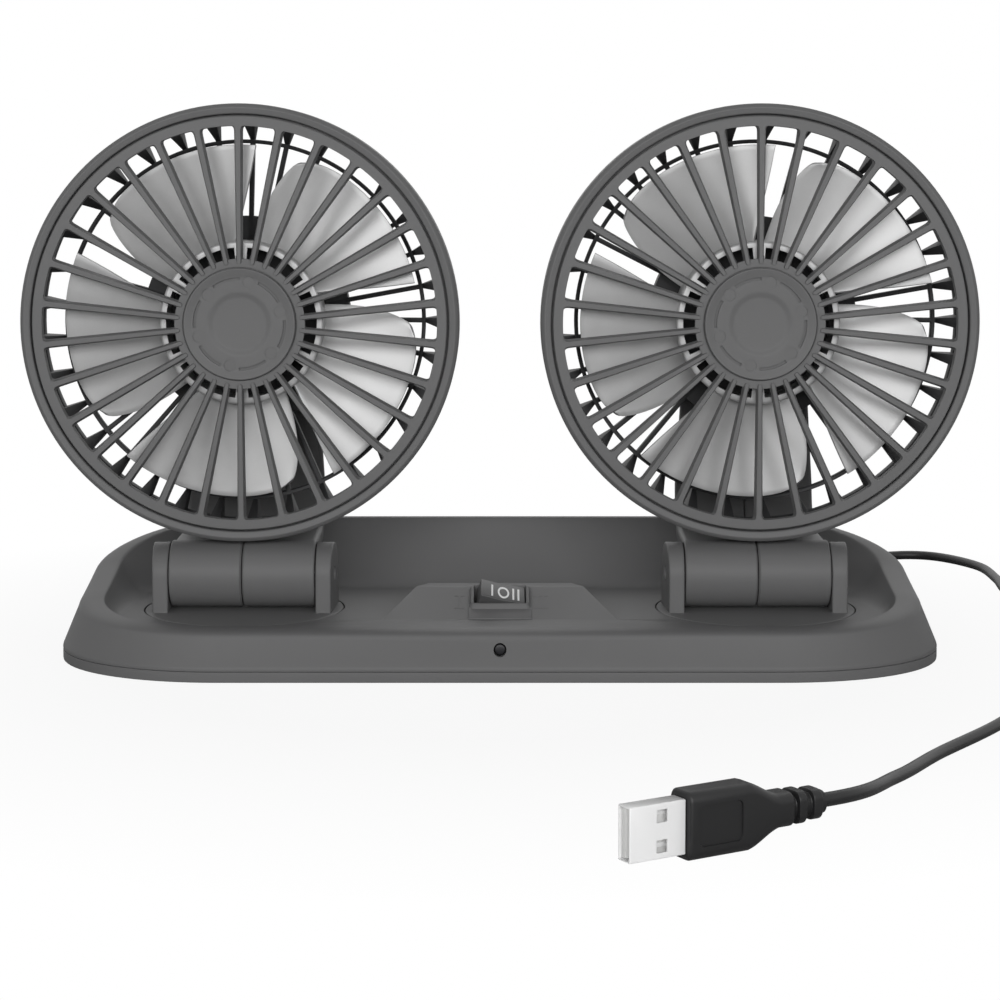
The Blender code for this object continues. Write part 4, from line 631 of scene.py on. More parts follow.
panel_slope = math.atan2(PANEL_RISE, PANEL_LENGTH)
bezel_up = math.hypot(PANEL_RISE, PANEL_LENGTH) - BEZEL_TOP_MARGIN - BEZEL_DEPTH / 2
panel_frame = (Matrix.Translation((0, PANEL_FRONT + bezel_up * math.cos(panel_slope),
                                   DISH_HEIGHT + bezel_up * math.sin(panel_slope)))
               @ Matrix.Rotation(panel_slope, 4, "X"))


def on_panel(piece):
    """Lay a piece that was drawn flat on the panel's face."""
    piece.data.transform(panel_frame)
    return piece


top_shell = lofted("top_shell", shell_rings(outer_section))
combined(top_shell, panel_wedge(), "UNION")
pad_top = BEZEL_DEPTH / 4
pad_length = bezel_up + pad_top
pad_middle = pad_top - pad_length / 2
pad = block("pad", (PAD_WIDTH, pad_length, 2 * PAD_RISE), (0, pad_middle, 0), PAD_RISE / 2)
combined(top_shell, on_panel(pad), "UNION")
combined(top_shell, lofted("hollow", shell_rings(inner_section)))
seat = DISH_HEIGHT - TURNTABLE_THICKNESS - SEAT_GAP
under = seat - WELL_FLOOR
well = TURNTABLE_RADIUS + SEAT_GAP
neck = NECK_RADIUS + SEAT_GAP
boss_top = DISH_HEIGHT - WALL / 2
for side in (-1, 1):
    centre = (side * HEAD_SPACING / 2, SWIVEL_BACK, 0)
    boss = turned("boss", stepped(under, (well + WELL_RIM, boss_top)), FINE_STEPS, centre, "Z")
    combined(top_shell, boss, "UNION")
    hole = stepped(under - OVERRUN, (neck, seat), (well, DISH_HEIGHT - LINE_CHAMFER))[:-1]
    hole += stepped(DISH_HEIGHT, (well + LINE_CHAMFER, DISH_HEIGHT + OVERRUN))[1:]
    drilled(top_shell, hole, FINE_STEPS, centre)
for x, y in screw_places:
    boss = turned("boss", stepped(PART_LINE, (SCREW_BOSS_RADIUS, boss_top)), SMALL_STEPS, (x, y, 0), "Z")
    combined(top_shell, boss, "UNION")
    bore = stepped(PART_LINE - OVERRUN, (shank, DISH_HEIGHT - WALL))
    drilled(top_shell, bore, SMALL_STEPS, (x, y, 0))
hole_size = (SWITCH_BODY_WIDTH + 2 * SEAT_GAP, SWITCH_BODY_DEPTH + 2 * SEAT_GAP, 2 * SWITCH_BODY_HEIGHT)
combined(top_shell, on_panel(block("switch_hole", hole_size)))
front_lean = (LIP_INSET - SHOULDER_RUN) / (DISH_HEIGHT + FRONT_RISE - SHOULDER_DROP - UPRIGHT_TOP)
light_front = -BASE_DEPTH / 2 + front_lean * (LIGHT_HEIGHT - UPRIGHT_TOP)
light_hole = stepped(light_front - LIP_INSET, (LIGHT_HOLE_RADIUS, light_front + LIP_INSET))
drilled(top_shell, light_hole, SMALL_STEPS, (0, 0, LIGHT_HEIGHT), "Y")
gland_hole = stepped(gland_low.y - OVERRUN, (GLAND_HOLE_RADIUS, (gland_low.y + gland_high.y) / 2))
drilled(top_shell, gland_hole, SMALL_STEPS, (GLAND_TIP.x, 0, GLAND_TIP.z), "Y")
fitted(top_shell, grey, "base", "grey_plastic", "base_top_shell")

# Indicator. A smoked acrylic light pipe, 3 mm across, pushed into its hole from behind, with a slightly
# domed tip. Its two legs reach down to the speed board.
LIGHT_RADIUS = 1.5 * MM
LIGHT_DOME = 0.25 * MM
LIGHT_DOME_STEPS = 10
LIGHT_SINK = 0.2 * MM
LIGHT_LENGTH = 5.4 * MM
LIGHT_FLANGE_RADIUS = 1.9 * MM
LIGHT_FLANGE = 1 * MM
LEG_WIDTH = 0.6 * MM
LEG_SPREAD = 1.27 * MM

smoke = Finish("smoked_acrylic", (0.012, 0.012, 0.014), roughness=0.4, gloss=0.3)
smoke.sheen(smoke.noise(1.5 * MM), smoothest=0.34, roughest=0.46)
light_tip = light_front + LIGHT_SINK
light_back = light_tip + LIGHT_LENGTH
light_profile = []
for step in range(LIGHT_DOME_STEPS + 1):
    turn = math.pi / 2 * step / LIGHT_DOME_STEPS
    light_profile.append((LIGHT_RADIUS * math.sin(turn), light_tip + LIGHT_DOME * (1 - math.cos(turn))))
light_profile.append((LIGHT_RADIUS, light_back - LIGHT_FLANGE))
light_profile += stepped(light_back - LIGHT_FLANGE, (LIGHT_FLANGE_RADIUS, light_back))[1:]
light = turned("indicator", light_profile, SMALL_STEPS, (0, 0, LIGHT_HEIGHT))
leg_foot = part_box("speed_board")[1].z + SEAT_GAP
leg_top = LIGHT_HEIGHT + LEG_WIDTH / 2
for side in (-1, 1):
    leg = block("leg", (LEG_WIDTH, LEG_WIDTH, leg_top - leg_foot),
                (side * LEG_SPREAD, light_back + LEG_WIDTH / 2, (leg_top + leg_foot) / 2))
    combined(light, leg, "UNION")
fitted(light, smoke, "base", "smoked_lens", "indicator_light")

# Switch housing. A rocker switch body in the housing's own grey, snapped into the panel from above. Its
# bezel has sloping sides and a rounded lip, and stands a little proud of the panel.
BEZEL_WIDTH = 18.4 * MM
BEZEL_HEIGHT = 1.8 * MM
BEZEL_CORNER = 1.6 * MM
BEZEL_DRAFT = 0.5 * MM
BEZEL_LIP = 0.35 * MM
BEZEL_LIP_SHARE = 0.3
ROCKER_WIDTH = 14.4 * MM
ROCKER_DEPTH = 9.4 * MM
WELL_DEPTH = 7 * MM
WELL_SWING_GAP = 0.5 * MM
WELL_EDGE = 0.3 * MM
WELL_CORNER = 0.4 * MM
BODY_EDGE = 0.3 * MM


def rounded(width, depth, corner, steps=6):
    """Give a rectangle with round corners as (x, y) points."""
    outline = []
    for quarter, (side, end) in enumerate(QUARTERS):
        for step in range(steps + 1):
            angle = math.pi / 2 * (quarter + step / steps)
            outline.append((side * (width / 2 - corner) + corner * math.cos(angle),
                            end * (depth / 2 - corner) + corner * math.sin(angle)))
    return outline


bezel_rings = []
part_lip = BEZEL_LIP * BEZEL_LIP_SHARE
for inset, height in ((0, SEAT_GAP), (BEZEL_DRAFT, BEZEL_HEIGHT - BEZEL_LIP),
                      (BEZEL_DRAFT + part_lip, BEZEL_HEIGHT - part_lip),
                      (BEZEL_DRAFT + BEZEL_LIP, BEZEL_HEIGHT)):
    outline = rounded(BEZEL_WIDTH - 2 * inset, BEZEL_DEPTH - 2 * inset, BEZEL_CORNER)
    bezel_rings.append([(x, y, height) for x, y in outline])
switch_housing = lofted("switch", bezel_rings)
body_top = BEZEL_HEIGHT / 2
body_size = (SWITCH_BODY_WIDTH, SWITCH_BODY_DEPTH, SWITCH_BODY_HEIGHT + body_top)
switch_body = block("switch_body", body_size, (0, 0, (body_top - SWITCH_BODY_HEIGHT) / 2), BODY_EDGE)
combined(switch_housing, switch_body, "UNION")
well_width = ROCKER_WIDTH + 2 * WELL_SWING_GAP
well_depth = ROCKER_DEPTH + 2 * SEAT_GAP
well_rings = []
for height, spread in ((-WELL_DEPTH, 0), (BEZEL_HEIGHT - WELL_EDGE, 0),
                       (BEZEL_HEIGHT + WELL_EDGE, 2 * WELL_EDGE)):
    outline = rounded(well_width + spread, well_depth + spread, WELL_CORNER, steps=3)
    well_rings.append([(x, y, height) for x, y in outline])
combined(switch_housing, lofted("well_hole", well_rings))
fitted(on_panel(switch_housing), grey, "base", "grey_plastic", "switch_housing")

# Rocker. A grey moulding that tilts in the switch housing, its top a very shallow V, with the right end
# pressed.
# Its colour is darker than the housing's grey: painted shade, for the shade of the switch well it sits in.
# The marks for the two speeds and for off are painted on it in white. Those beside the switch are raised on
# the panel.
ROCKER_RISE = 4.2 * MM
ROCKER_DRAFT = 0.5 * MM
ROCKER_BOTTOM = 3.4 * MM
ROCKER_PIVOT_DROP = 1.2 * MM
ROCKER_V_ANGLE = math.radians(3)
ROCKER_ANGLE = math.radians(13)
ROCKER_EDGE = 0.35 * MM
ROCKER_EDGE_STEPS = 4
ROCKER_EDGE_ANGLE = math.radians(20)
MARK_RISE = 0.03 * MM
MARK_LENGTH = 6.4 * MM
MARK_STROKE = 0.55 * MM
MARK_RADIUS = 1.75 * MM
MARK_FORWARD = 0.5 * MM
FIRST_SPEED = -3.3 * MM
OFF_MARK = 0.15 * MM
SECOND_SPEED = 3.9 * MM
SECOND_SPREAD = 1.55 * MM
SIDE_MARK = 12.1 * MM
SIDE_MARK_DROP = 1.5 * MM
SIDE_MARK_LENGTH = 7.5 * MM
SIDE_MARK_SERIF = 3 * MM
SIDE_MARK_RISE = 0.09 * MM

rocker_half = ROCKER_WIDTH / 2
rocker_top = rocker_half - ROCKER_DRAFT
valley = ROCKER_RISE - rocker_top * math.tan(ROCKER_V_ANGLE)
rocker_side = [(-rocker_half, 0), (-rocker_top, ROCKER_RISE), (0, valley), (rocker_top, ROCKER_RISE),
               (rocker_half, 0), (rocker_half / 2, -ROCKER_BOTTOM), (-rocker_half / 2, -ROCKER_BOTTOM)]
rocker_ends = (-ROCKER_DEPTH / 2, ROCKER_DEPTH / 2)
rocker = lofted("rocker_key", [[(x, y, z) for x, z in rocker_side] for y in rocker_ends])
softened(rocker, ROCKER_EDGE, ROCKER_EDGE_STEPS, ROCKER_EDGE_ANGLE)
rocker_frame = (panel_frame @ Matrix.Translation((0, 0, -ROCKER_PIVOT_DROP))
                @ Matrix.Rotation(ROCKER_ANGLE, 4, "Y"))
rocker.data.transform(rocker_frame)
# The rocker is the housing's grey, rendered darker as painted shade of its well.
painted_shade_grey = moulded("key_plastic_with_painted_shade", (0.06, 0.06, 0.061), roughness=0.42, grain_size=0.3 * MM,
                    grain_depth=0.15, gloss=0.35)
fitted(rocker, painted_shade_grey, "rocker", "grey_plastic", "rocker")

paint = Finish("mark_paint", (0.95, 0.95, 0.95), roughness=0.45)
paint.tint(paint.noise(0.4 * MM), darker=0.97, lighter=1.03)


def key_mark(name, x, mark):
    """Lay a flat mark on the rocker's faces, with its lower half sunk in."""
    for spot in mark.data.vertices:
        along = spot.co.x + x
        height = spot.co.z + valley + abs(along) * math.tan(ROCKER_V_ANGLE)
        spot.co = (along, spot.co.y - MARK_FORWARD, height)
    mark.data.transform(rocker_frame)
    mark.name = name
    mark.data.materials.clear()
    mark.data.materials.append(paint.material)
    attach(mark, "rocker")


def bar():
    """One upright stroke of a mark."""
    return block("stroke", (MARK_STROKE, MARK_LENGTH, 2 * MARK_RISE))


key_mark("mark_first_speed", FIRST_SPEED, bar())
ring_section = [(MARK_RADIUS - MARK_STROKE, -MARK_RISE), (MARK_RADIUS, -MARK_RISE), (MARK_RADIUS, MARK_RISE),
                (MARK_RADIUS - MARK_STROKE, MARK_RISE)]
off_ring = turned("ring", ring_section, SMALL_STEPS, axis="Z", closed=True)
off_ring.data.transform(Matrix.Diagonal((1, MARK_LENGTH / 2 / MARK_RADIUS, 1, 1)))
key_mark("mark_off", OFF_MARK, off_ring)
for number, side in enumerate((-1, 1), 1):
    key_mark(f"mark_second_speed_{number}", SECOND_SPEED + side * SECOND_SPREAD / 2, bar())
for name, side, strokes in (("first", -1, 1), ("second", 1, 2)):
    for number in range(2 + strokes):
        thickness = 2 * SIDE_MARK_RISE
        middle = side * SIDE_MARK
        if number < 2:
            size = (SIDE_MARK_SERIF + SECOND_SPREAD * (strokes - 1), MARK_STROKE, thickness)
            centre = (middle, (number - 0.5) * (SIDE_MARK_LENGTH - MARK_STROKE) - SIDE_MARK_DROP, 0)
        else:
            size = (MARK_STROKE, SIDE_MARK_LENGTH, thickness)
            centre = (middle + (number - 2 - (strokes - 1) / 2) * SECOND_SPREAD, -SIDE_MARK_DROP, 0)
        stroke = block("stroke", size, centre, SIDE_MARK_RISE / 3, segments=1)
        mark = stroke if number == 0 else combined(mark, stroke, "UNION")
    mark.name = f"raised_{name}_speed"
    on_panel(mark).data.materials.append(grey.material)
    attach(mark, "base")

# Turntable. Each head stands on a grey disc, flush in the dish, with two upright ears for the hinge pin. Its
# neck passes through the floor, where a steel spring clip holds it. A steel pin joins ears and arm.
NECK_GROOVE = 2 * MM
NECK_END = 1.6 * MM
CLIP_THICKNESS = 1.6 * MM
DISC_EDGE = 0.35 * MM
AXIS_RISE = 10.5 * MM
BARREL_RADIUS = 10 * MM
BARREL_LENGTH = 43.4 * MM
EAR_THICKNESS = 5.2 * MM
EAR_RADIUS = 9.4 * MM
EAR_FLARE = 1.2 * MM
EAR_EDGE = 0.5 * MM
PIN_RADIUS = 2 * MM
PIN_EDGE = 0.3 * MM
EAR_STEPS = 28
BROAD_ANGLE = math.radians(60)

left_swivel = Vector((-HEAD_SPACING / 2, SWIVEL_BACK, DISH_HEIGHT))
left_hinge = left_swivel + Vector((0, 0, AXIS_RISE))
to_right = Vector((HEAD_SPACING, 0, 0))


def arc(radius, start, end, steps, centre=(0, 0)):
    """Give points on an arc, from one angle in degrees to another."""
    turns = (math.radians(start + (end - start) * step / steps) for step in range(steps + 1))
    return [(centre[0] + radius * math.cos(turn), centre[1] + radius * math.sin(turn)) for turn in turns]


def both(piece, finish, body, slot, node):
    """Fit a piece of the left head, and its copy on the right one."""
    twin = copied(piece, "right_" + piece.name, to_right)
    piece.name = "left_" + piece.name
    fitted(piece, finish, "left_" + body, slot, "left_" + node)
    fitted(twin, finish, "right_" + body, slot, "right_" + node)


steel = Finish("bright_steel", (0.62, 0.62, 0.64), roughness=0.25, metallic=1.0)
steel.sheen(steel.noise(0.6 * MM, stretch=(1, 0.1, 1)), smoothest=0.2, roughest=0.35)
clip_top = under - DISH_HEIGHT - SEAT_GAP
groove = clip_top - CLIP_THICKNESS - SEAT_GAP
disc_profile = stepped(groove - NECK_END, (NECK_RADIUS, groove), (NECK_RADIUS - NECK_GROOVE, clip_top),
                       (NECK_RADIUS, -TURNTABLE_THICKNESS))[:-1]
disc_profile.append((TURNTABLE_RADIUS, -TURNTABLE_THICKNESS))
disc_profile += arc(DISC_EDGE, 0, 90, 3, (TURNTABLE_RADIUS - DISC_EDGE, -DISC_EDGE)) + [(0, 0)]
turntable = turned("disc", disc_profile, FINE_STEPS, left_swivel, "Z")
ear_inside = BARREL_LENGTH / 2 + SEAT_GAP
ear_foot = -AXIS_RISE - TURNTABLE_THICKNESS / 2
ear_outline = [(-EAR_RADIUS, ear_foot), (EAR_RADIUS, ear_foot)] + arc(EAR_RADIUS, 0, 180, EAR_STEPS)
for side in (-1, 1):
    inner_ring = [left_hinge + Vector((side * ear_inside, y, z)) for y, z in ear_outline]
    outer_ring = [spot + Vector((side * (EAR_THICKNESS + EAR_FLARE * y / (2 * EAR_RADIUS)), 0, 0))
                  for spot, (y, z) in zip(inner_ring, ear_outline)]
    ear = softened(lofted("ear", [inner_ring, outer_ring]), EAR_EDGE, segments=3, angle=BROAD_ANGLE)
    combined(turntable, ear, "UNION")
pin_reach = ear_inside + EAR_THICKNESS - EAR_FLARE / 2
bore_reach = pin_reach + EAR_FLARE + OVERRUN
pin_bore = PIN_RADIUS + SEAT_GAP
drilled(turntable, stepped(-bore_reach, (pin_bore, bore_reach)), SMALL_STEPS, left_hinge, "X")
both(turntable, grey, "turntable", "grey_plastic", "turntable")
pin_profile = eased(stepped(-pin_reach, (PIN_RADIUS, pin_reach)), PIN_EDGE, closed=False)
both(turned("pin", pin_profile, SMALL_STEPS, left_hinge, "X"), steel, "turntable", "steel", "hinge_pin")

# Arm. Two grey half shells, glued along the middle, that run back from the hinge barrel, bend up behind the
# head and narrow to a round end on the motor's cover. The joint shows as a fine groove round the barrel.
ARM_THICKNESS = 5.6 * MM
ARM_TOP_BELOW_BARREL = 0.3 * MM
ARM_BEND_RADIUS = 12 * MM
ARM_LOW_HALF_WIDTH = 21.6 * MM
ARM_MIDDLE_HALF_WIDTH = 20 * MM
ARM_TOP_HALF_WIDTH = 15 * MM
ARM_EDGE = 1.6 * MM
ARM_EDGE_SHARE = 0.33
ARM_REACH = 36.3 * MM
HEAD_RISE = 75.8 * MM
SEAM_GROOVE = 0.5 * MM
BARREL_EDGE = 0.6 * MM
BEND_STEPS = 12
TIP_STEPS = 14
TIP_ANGLE = 82
ARM_WAIST_STEPS = 6


def arm_stations():
    """Give the arm's middle line as (back, up, turn, half width), out from the hinge."""
    top = BARREL_RADIUS - ARM_TOP_BELOW_BARREL
    centre_back = ARM_REACH - ARM_BEND_RADIUS
    centre_up = top + ARM_BEND_RADIUS
    radius = ARM_BEND_RADIUS + ARM_THICKNESS / 2
    stations = [(0, top - ARM_THICKNESS / 2, 0, ARM_LOW_HALF_WIDTH)]
    for back, up in arc(radius, -90, 0, BEND_STEPS, (centre_back, centre_up)):
        stations.append((back, up, 90 * (len(stations) - 1) / BEND_STEPS, ARM_LOW_HALF_WIDTH))
    back = centre_back + radius
    waist = (centre_up + HEAD_RISE) / 2
    for low, high, first, last in ((centre_up, waist, ARM_LOW_HALF_WIDTH, ARM_MIDDLE_HALF_WIDTH),
                                   (waist, HEAD_RISE, ARM_MIDDLE_HALF_WIDTH, ARM_TOP_HALF_WIDTH)):
        for step in range(1, ARM_WAIST_STEPS + 1):
            share = step / ARM_WAIST_STEPS
            stations.append((back, low + (high - low) * share, 90, first + (last - first) * share))
    for half, rise in arc(ARM_TOP_HALF_WIDTH, 0, TIP_ANGLE, TIP_STEPS)[1:]:
        stations.append((back, HEAD_RISE + rise, 90, half))
    return stations


def arm_ring(side, back, up, angle, half):
    """Give the section of one half shell at a station, with round outer edges and a bevelled seam."""
    seam = SEAT_GAP / 2
    edge = min(ARM_EDGE, half * ARM_EDGE_SHARE)
    rise = ARM_THICKNESS / 2
    groove = min(SEAM_GROOVE, half * ARM_EDGE_SHARE)
    section = [(seam, groove - rise), (seam + groove, -rise)]
    section += arc(edge, -90, 0, 5, (half - edge, edge - rise))
    section += arc(edge, 0, 90, 5, (half - edge, rise - edge))
    section += [(seam + groove, rise), (seam, rise - groove)]
    turn = math.radians(angle)
    return [left_hinge + Vector((side * x, back - z * math.sin(turn), up + z * math.cos(turn)))
            for x, z in section]


for side, name in ((-1, "left"), (1, "right")):
    arm = lofted(f"arm_{name}_shell", [arm_ring(side, *station) for station in arm_stations()])
    end = BARREL_LENGTH / 2
    barrel_profile = [(0, SEAT_GAP / 2), (BARREL_RADIUS - SEAM_GROOVE, SEAT_GAP / 2),
                      (BARREL_RADIUS, SEAT_GAP / 2 + SEAM_GROOVE)]
    barrel_profile += [(z + BARREL_RADIUS - BARREL_EDGE, x + end - BARREL_EDGE)
                       for z, x in arc(BARREL_EDGE, 0, 90, 4)] + [(0, end)]
    barrel_profile = [(radius, side * along) for radius, along in barrel_profile]
    combined(arm, turned("barrel", barrel_profile, FINE_STEPS, left_hinge, "X"), "UNION")
    drilled(arm, stepped(-end - OVERRUN, (pin_bore, end + OVERRUN)), SMALL_STEPS, left_hinge, "X")
    both(arm, grey, "head", "grey_plastic", f"arm_{name}_half")

# Rim ring. The grey hoop round each head, moulded in one with a ledge on which the front grille rests.
HEAD_RADIUS = 65 * MM
RING_FORWARD = 9 * MM
RING_WALL = 3.05 * MM
RING_DEPTH = 12 * MM
RING_ROUND = 1.2 * MM
RING_SLOPE = 0.6 * MM
RING_SLOPE_SHARE = 0.4
RING_EDGE = 0.45 * MM
RING_LEDGE = 1.8 * MM
RING_LEDGE_DEPTH = 1.5 * MM
GRILLE_SINK = 0.3 * MM
GRILLE_THICKNESS = 2.6 * MM
GRILLE_GAP = 0.65 * MM
RING_STEPS = 180

head_centre = left_hinge + Vector((0, -RING_FORWARD, HEAD_RISE))
ring_inside = HEAD_RADIUS - RING_WALL
ledge = GRILLE_SINK + GRILLE_THICKNESS + SEAT_GAP
ring_foot = ring_inside - RING_LEDGE
ring_profile = ((ring_inside, RING_SLOPE), (ring_inside + RING_ROUND, RING_SLOPE * RING_SLOPE_SHARE),
                (HEAD_RADIUS - RING_ROUND, 0), (HEAD_RADIUS, RING_ROUND), (HEAD_RADIUS, RING_DEPTH),
                (ring_inside, RING_DEPTH), (ring_foot, ledge + RING_LEDGE_DEPTH), (ring_foot, ledge),
                (ring_inside, ledge))
ring_profile = eased(ring_profile, RING_EDGE, steps=4)
rim_ring = turned("ring", ring_profile, RING_STEPS, head_centre, "Y", closed=True)
both(rim_ring, grey, "head", "grey_plastic", "rim_ring")

# Front grille. One grey moulding: a flat hoop, thirty ribs with drafted flanks, and a hub plate on which the
# ribs end in round noses. It is dropped into the rim ring and glued.
GRILLE_BAND = 3.65 * MM
GRILLE_RIBS = 30
GRILLE_EDGE = 0.2 * MM
RIB_BACK_WIDTHS = (2.0 * MM, 2.7 * MM)
RIB_FRONT_WIDTHS = (1.0 * MM, 1.5 * MM)
HUB_RADIUS = 19.3 * MM
HUB_SINK = 0.7 * MM
NOSE_SINK = 0.03 * MM
NOSE_RADIUS = 17.9 * MM
NOSE_STEPS = 8
SLOT_DRAFT = 0.2 * MM
SLOT_OUTER_CORNER = 1.6 * MM
SLOT_INNER_CORNER = 0.4 * MM
CAP_RADIUS = 16.6 * MM
CAP_SEAT = 1.3 * MM


def copied_round(piece, count, first_turn=0.0):
    """Turn a piece about the head's axis, and copy its mesh round the axis, all in one mesh."""
    take(piece)
    bpy.ops.object.mode_set(mode="EDIT")
    bpy.ops.mesh.select_all(action="SELECT")
    if first_turn:
        bpy.ops.transform.rotate(value=first_turn, orient_axis="Y", center_override=head_centre)
    for number in range(1, count):
        bpy.ops.mesh.duplicate()
        bpy.ops.transform.rotate(value=math.tau / count, orient_axis="Y", center_override=head_centre)
    bpy.ops.object.mode_set(mode="OBJECT")
    return piece


def around_head(radius, angle, along):
    """Give a place on the head: out from its axis at an angle, and back from its front."""
    return head_centre + Vector((radius * math.cos(angle), along, radius * math.sin(angle)))


def across_head(outline, along):
    """Lay an outline of (x, z) points round the head's axis, at a distance back from its front."""
    return [head_centre + Vector((x, along, z)) for x, z in outline]


def slot_ring(widths, grow, along):
    """Give the outline of the gap between two ribs of those widths, at a depth."""
    pitch = math.pi / GRILLE_RIBS
    band = ring_inside - GRILLE_BAND + grow
    low = pitch - math.asin(widths[0] / 2 / HUB_RADIUS)
    high = pitch - math.asin(widths[1] / 2 / band)
    outline = [(HUB_RADIUS, low), (HUB_RADIUS, 0), (HUB_RADIUS, -low)]
    outline += [(band, high * side) for side in (-1, -0.6, -0.3, 0, 0.3, 0.6, 1)]
    radii = [SLOT_INNER_CORNER, 0, SLOT_INNER_CORNER, SLOT_OUTER_CORNER] + [0] * 5 + [SLOT_OUTER_CORNER]
    flat = [(radius * math.cos(turn), radius * math.sin(turn)) for radius, turn in outline]
    return across_head(eased(flat, radii, steps=5), along)


grille_front = GRILLE_SINK
grille_back = GRILLE_SINK + GRILLE_THICKNESS
grille_radius = ring_inside - GRILLE_GAP
blank = [(0, grille_front + HUB_SINK), (HUB_RADIUS, grille_front + HUB_SINK), (HUB_RADIUS, grille_front),
         (grille_radius - GRILLE_EDGE, grille_front), (grille_radius, grille_front + GRILLE_EDGE),
         (grille_radius, grille_back), (0, grille_back)]
grille = turned("grille", blank, RING_STEPS, head_centre)
draft = OVERRUN / GRILLE_THICKNESS
widths = list(zip(RIB_FRONT_WIDTHS, RIB_BACK_WIDTHS))
behind = slot_ring([back + (back - front) * draft for front, back in widths], 0, grille_back + OVERRUN)
before = slot_ring([front - (back - front) * draft for front, back in widths], SLOT_DRAFT,
                   grille_front - OVERRUN)
slot_cutter = lofted("slots", [behind, before])
combined(grille, copied_round(slot_cutter, GRILLE_RIBS))
nose_rings = []
for along, half in ((grille_front + 2 * HUB_SINK, RIB_BACK_WIDTHS[0] / 2),
                    (grille_front + NOSE_SINK, RIB_FRONT_WIDTHS[0] / 2)):
    outline = arc(half, 90, 270, NOSE_STEPS, (NOSE_RADIUS + half, 0))
    outline += [(HUB_RADIUS + OVERRUN, -half), (HUB_RADIUS + OVERRUN, half)]
    nose_rings.append(across_head(outline, along))
noses = copied_round(lofted("noses", nose_rings), GRILLE_RIBS, math.pi / GRILLE_RIBS)
combined(grille, noses, "UNION")
cap_seat = stepped(grille_front - OVERRUN, (CAP_RADIUS + SEAT_GAP, grille_front + CAP_SEAT))
drilled(grille, cap_seat, FINE_STEPS, head_centre, "Y")
both(grille, grey, "head", "grey_plastic", "front_grille")

# Hub cap. A round grey lid pressed into the hub plate: a proud rim slopes in to a plate with six arc slots,
# between which the plate has round shallow spots, and steps down again to a flat middle.
CAP_THICKNESS = 1.9 * MM
CAP_RIM = 0.3 * MM
CAP_SLOPE_FOOT = 14 * MM
CAP_PLATE_RADIUS = 13.8 * MM
CAP_RECESS = 0.9 * MM
CAP_DISH_RADIUS = 9.4 * MM
CAP_DISH_SLOPE = 1.5 * MM
CAP_DISH_DEPTH = 0.6 * MM
CAP_DISH_EDGE = 0.5 * MM
CAP_FOOT_EDGE = 0.4 * MM
CAP_RIM_EDGE = 0.2 * MM
CAP_ARCS = 6
CAP_ARC_START = 28.9
CAP_ARC_ANGLE = 36
CAP_ARC_WIDTH = 0.9 * MM
CAP_ARC_DEPTH = 0.8 * MM
CAP_ARC_STEPS = 12
CAP_SPOT_RADIUS = 1.8 * MM
CAP_SPOT_FROM_AXIS = 12.6 * MM
CAP_SPOT_DEPTH = 0.25 * MM

cap_back = grille_front + CAP_SEAT - SEAT_GAP
cap_front = cap_back - CAP_THICKNESS
cap_plate = cap_front + CAP_RECESS
cap_dish = cap_plate + CAP_DISH_DEPTH
cap_profile = ((0, cap_dish), (CAP_DISH_RADIUS - CAP_DISH_SLOPE, cap_dish), (CAP_DISH_RADIUS, cap_plate),
               (CAP_SLOPE_FOOT, cap_plate), (CAP_RADIUS - CAP_RIM, cap_front),
               (CAP_RADIUS, cap_front + CAP_RIM), (CAP_RADIUS, cap_back), (0, cap_back))
cap_edges = [0, CAP_DISH_EDGE, CAP_DISH_EDGE, CAP_FOOT_EDGE, CAP_RIM_EDGE, CAP_RIM_EDGE, 0, 0]
hub_cap = turned("cap", eased(cap_profile, cap_edges, closed=False), FINE_STEPS, head_centre)
arc_end = CAP_ARC_START + CAP_ARC_ANGLE
arc_outline = arc(CAP_PLATE_RADIUS, CAP_ARC_START, arc_end, CAP_ARC_STEPS)
arc_outline += arc(CAP_PLATE_RADIUS - CAP_ARC_WIDTH, arc_end, CAP_ARC_START, CAP_ARC_STEPS)
arc_places = (cap_front - OVERRUN, cap_plate + CAP_ARC_DEPTH)
arc_cutter = lofted("arcs", [across_head(arc_outline, along) for along in arc_places])
combined(hub_cap, copied_round(arc_cutter, CAP_ARCS))
spot_turn = math.radians(CAP_ARC_START + (CAP_ARC_ANGLE + 360 / CAP_ARCS) / 2)
spot_profile = stepped(cap_front, (CAP_SPOT_RADIUS, cap_plate + CAP_SPOT_DEPTH))
spot_cutter = turned("spots", spot_profile, SMALL_STEPS, around_head(CAP_SPOT_FROM_AXIS, spot_turn, 0))
combined(hub_cap, copied_round(spot_cutter, CAP_ARCS))
both(hub_cap, grey, "head", "grey_plastic", "hub_cap")

# Impeller. One moulding in silver-grey plastic with a pearl sheen: a hub cup, open between six bridges near
# its edge, a boss pressed on the motor's shaft, and five broad twisted blades.
IMPELLER_FRONT = 6 * MM
IMPELLER_HUB_RADIUS = 24.4 * MM
IMPELLER_HUB_DEPTH = 14 * MM
IMPELLER_WALL = 1.6 * MM
IMPELLER_EDGE = 0.8 * MM
IMPELLER_BOSS_RADIUS = 4 * MM
IMPELLER_WINDOWS = 6
WINDOW_INNER = 18.8 * MM
WINDOW_OUTER = 22.5 * MM
WINDOW_START = 35
WINDOW_SPAN = 50
WINDOW_STEPS = 14
SHAFT_RADIUS = 1 * MM
MOTOR_FRONT = 20.5 * MM
BLADES = 5
BLADE_TIP_RADIUS = 53 * MM
BLADE_THICKNESS = 1.2 * MM
BLADE_TIP_DEPTH = 7 * MM
BLADE_ROOT_DEPTH = 12 * MM
BLADE_TIP_CENTRE = 113.4
BLADE_ROOT_CENTRE = 124.8
BLADE_TIP_SPAN = 57
BLADE_ROOT_SPAN = 62
BLADE_BULGE_SPAN = 3
BLADE_SKEW_POWER = 0.9
BLADE_CORNER_POWER = 12
BLADE_TIP_ROUND_SHARE = 0.05
BLADE_CAMBER_SHARE = 0.12
